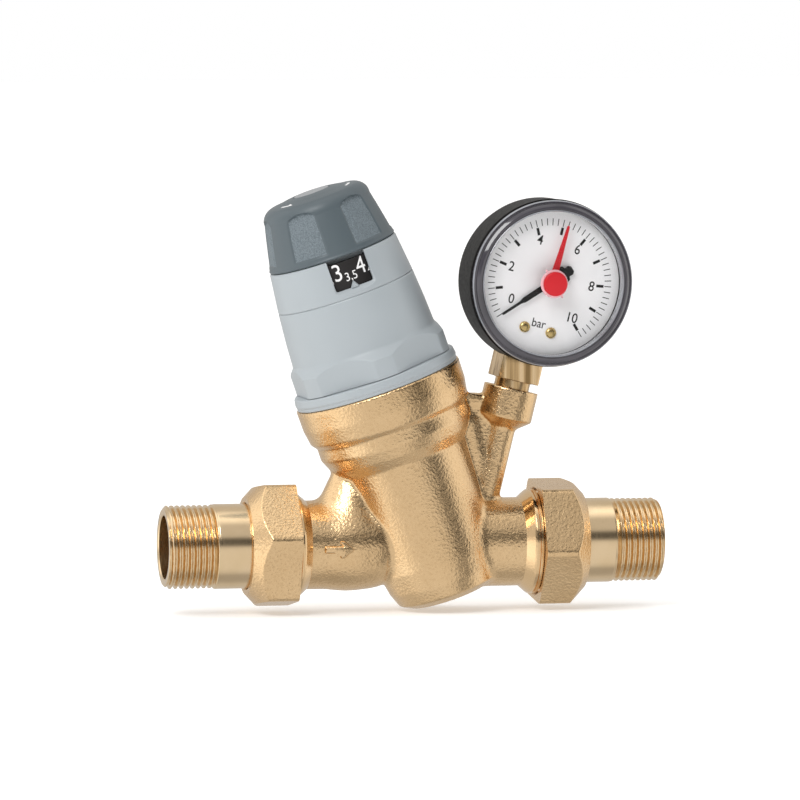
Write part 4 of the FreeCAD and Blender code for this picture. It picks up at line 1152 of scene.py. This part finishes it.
# ---- studio ----
def studio_world():
    """Soft white surround with the dark gaps that shape reflections in metal."""
    world = bpy.data.worlds.new("studio")
    bpy.context.scene.world = world
    world.use_nodes = True
    tree = world.node_tree
    tree.nodes.clear()

    def node(kind, **settings):
        made = tree.nodes.new(kind)
        for key, value in settings.items():
            setattr(made, key, value)
        return made

    def maths(operation, a, b=None, clamp=False):
        made = node("ShaderNodeMath", operation=operation, use_clamp=clamp)
        for socket, value in zip(made.inputs, (a, b)):
            if value is None:
                continue
            if isinstance(value, (int, float)):
                socket.default_value = value
            else:
                tree.links.new(value, socket)
        return made.outputs[0]

    coords = node("ShaderNodeTexCoord")
    split = node("ShaderNodeSeparateXYZ")
    tree.links.new(coords.outputs["Generated"], split.inputs[0])
    x, y, z = split.outputs
    # Angle round the vertical, 0 towards the default viewer, positive to the right.
    turn = math.radians(VIEW_AZIMUTH)
    side = maths("ADD", maths("MULTIPLY", x, math.cos(turn)), maths("MULTIPLY", y, math.sin(turn)))
    across, ahead = maths("MULTIPLY", x, math.sin(turn)), maths("MULTIPLY", y, math.cos(turn))
    front = maths("SUBTRACT", across, ahead)
    azimuth = maths("MULTIPLY", maths("ARCTAN2", side, front), 180 / math.pi)
    elevation = maths("MULTIPLY", maths("ARCSINE", z), 180 / math.pi)

    def band(value, low, high, soft):
        rise = maths("DIVIDE", maths("SUBTRACT", value, low - soft / 2), soft, True)
        fall = maths("DIVIDE", maths("SUBTRACT", high + soft / 2, value), soft, True)
        return maths("MULTIPLY", rise, fall)

    level = 0.64
    light = maths("ADD", 0.0, level)
    patches = [
        # azimuth range, elevation range, softness, added light
        ((-75, 56), (-75, 1), 8, 0.18),
        ((-85, 62), (5, 27), 7, -0.54),
        ((46, 70), (-45, 60), 8, -0.48),
        ((-125, -48), (-35, 75), 20, 0.62),
        ((78, 130), (-30, 75), 16, 0.40),
        ((-180, 180), (70, 95), 16, 0.80),
        ((-180, 180), (-95, -66), 16, -0.20),
    ]
    for (a0, a1), (e0, e1), soft, added in patches:
        mask = band(elevation, e0, e1, soft)
        if a1 - a0 < 360:
            mask = maths("MULTIPLY", mask, band(azimuth, a0, a1, soft))
        light = maths("ADD", light, maths("MULTIPLY", mask, added))
    light = maths("MAXIMUM", light, 0.03)

    reflect = node("ShaderNodeBackground")
    reflect.inputs["Color"].default_value = (1.0, 0.985, 0.965, 1.0)
    tree.links.new(light, reflect.inputs["Strength"])
    plain = node("ShaderNodeBackground")
    plain.inputs["Color"].default_value = (1.0, 1.0, 1.0, 1.0)
    plain.inputs["Strength"].default_value = 1.0
    path = node("ShaderNodeLightPath")
    mix = node("ShaderNodeMixShader")
    output = node("ShaderNodeOutputWorld")
    tree.links.new(path.outputs["Is Camera Ray"], mix.inputs[0])
    tree.links.new(reflect.outputs[0], mix.inputs[1])
    tree.links.new(plain.outputs[0], mix.inputs[2])
    tree.links.new(mix.outputs[0], output.inputs["Surface"])


def floor():
    low = CAD_BOX[0].z
    size = 6.0
    mesh = bpy.data.meshes.new("floor")
    corners = [(-size, -size, 0), (size, -size, 0), (size, size, 0), (-size, size, 0)]
    mesh.from_pydata(corners, [], [(0, 1, 2, 3)])
    piece = bpy.data.objects.new("floor", mesh)
    piece.location.z = low - 0.0005
    bpy.context.collection.objects.link(piece)
    material = bpy.data.materials.new("floor")
    material.use_nodes = True
    bsdf = material.node_tree.nodes["Principled BSDF"]
    bsdf.inputs["Base Color"].default_value = (0.93, 0.93, 0.93, 1.0)
    bsdf.inputs["Roughness"].default_value = 0.9
    bsdf.inputs["Emission Color"].default_value = (1, 1, 1, 1)
    bsdf.inputs["Emission Strength"].default_value = 0.35
    mesh.materials.append(material)
    piece.visible_glossy = False


def area_light(name, place, target, size, power):
    data = bpy.data.lights.new(name, "AREA")
    data.shape = "SQUARE"
    data.size = size
    data.energy = power
    lamp = bpy.data.objects.new(name, data)
    lamp.location = place
    direction = Vector(target) - Vector(place)
    lamp.rotation_euler = direction.to_track_quat("-Z", "Y").to_euler()
    bpy.context.collection.objects.link(lamp)


def camera():
    azimuth, elevation = math.radians(VIEW_AZIMUTH), math.radians(VIEW_ELEVATION)
    back = Vector((math.sin(azimuth) * math.cos(elevation),
                   -math.cos(azimuth) * math.cos(elevation), math.sin(elevation)))
    data = bpy.data.cameras.new("camera")
    data.sensor_width = SENSOR
    data.lens = SENSOR * VIEW_DISTANCE / VIEW_HEIGHT
    data.clip_end = 50.0
    eye = bpy.data.objects.new("camera", data)
    eye.location = Vector(VIEW_TARGET) + back * VIEW_DISTANCE
    eye.rotation_euler = (-back).to_track_quat("-Z", "Y").to_euler()
    bpy.context.collection.objects.link(eye)
    scene = bpy.context.scene
    scene.camera = eye
    scene.view_settings.view_transform = "Standard"


# ---- build ----
camera()
studio_world()
floor()
area_light("key", (-0.6, -0.9, 1.0), (0.08, 0, 0.04), 0.7, 9.0)
dress_cad_nodes()
body_casting()
for side in UNIONS:
    body_collar(side)
flow_arrow()
for build in (union_nut, union_tail):
    for side in UNIONS:
        build(side)
for build in (bonnet_cover, indicator_ring, window_pointer, drum_figures, adjusting_knob,
              knob_cap, turn_arrows, gauge_case, gauge_seat, gauge_window, dial_plate,
              dial_marks, dial_screws, black_pointer, red_hand, red_cap, stem_block):
    build()
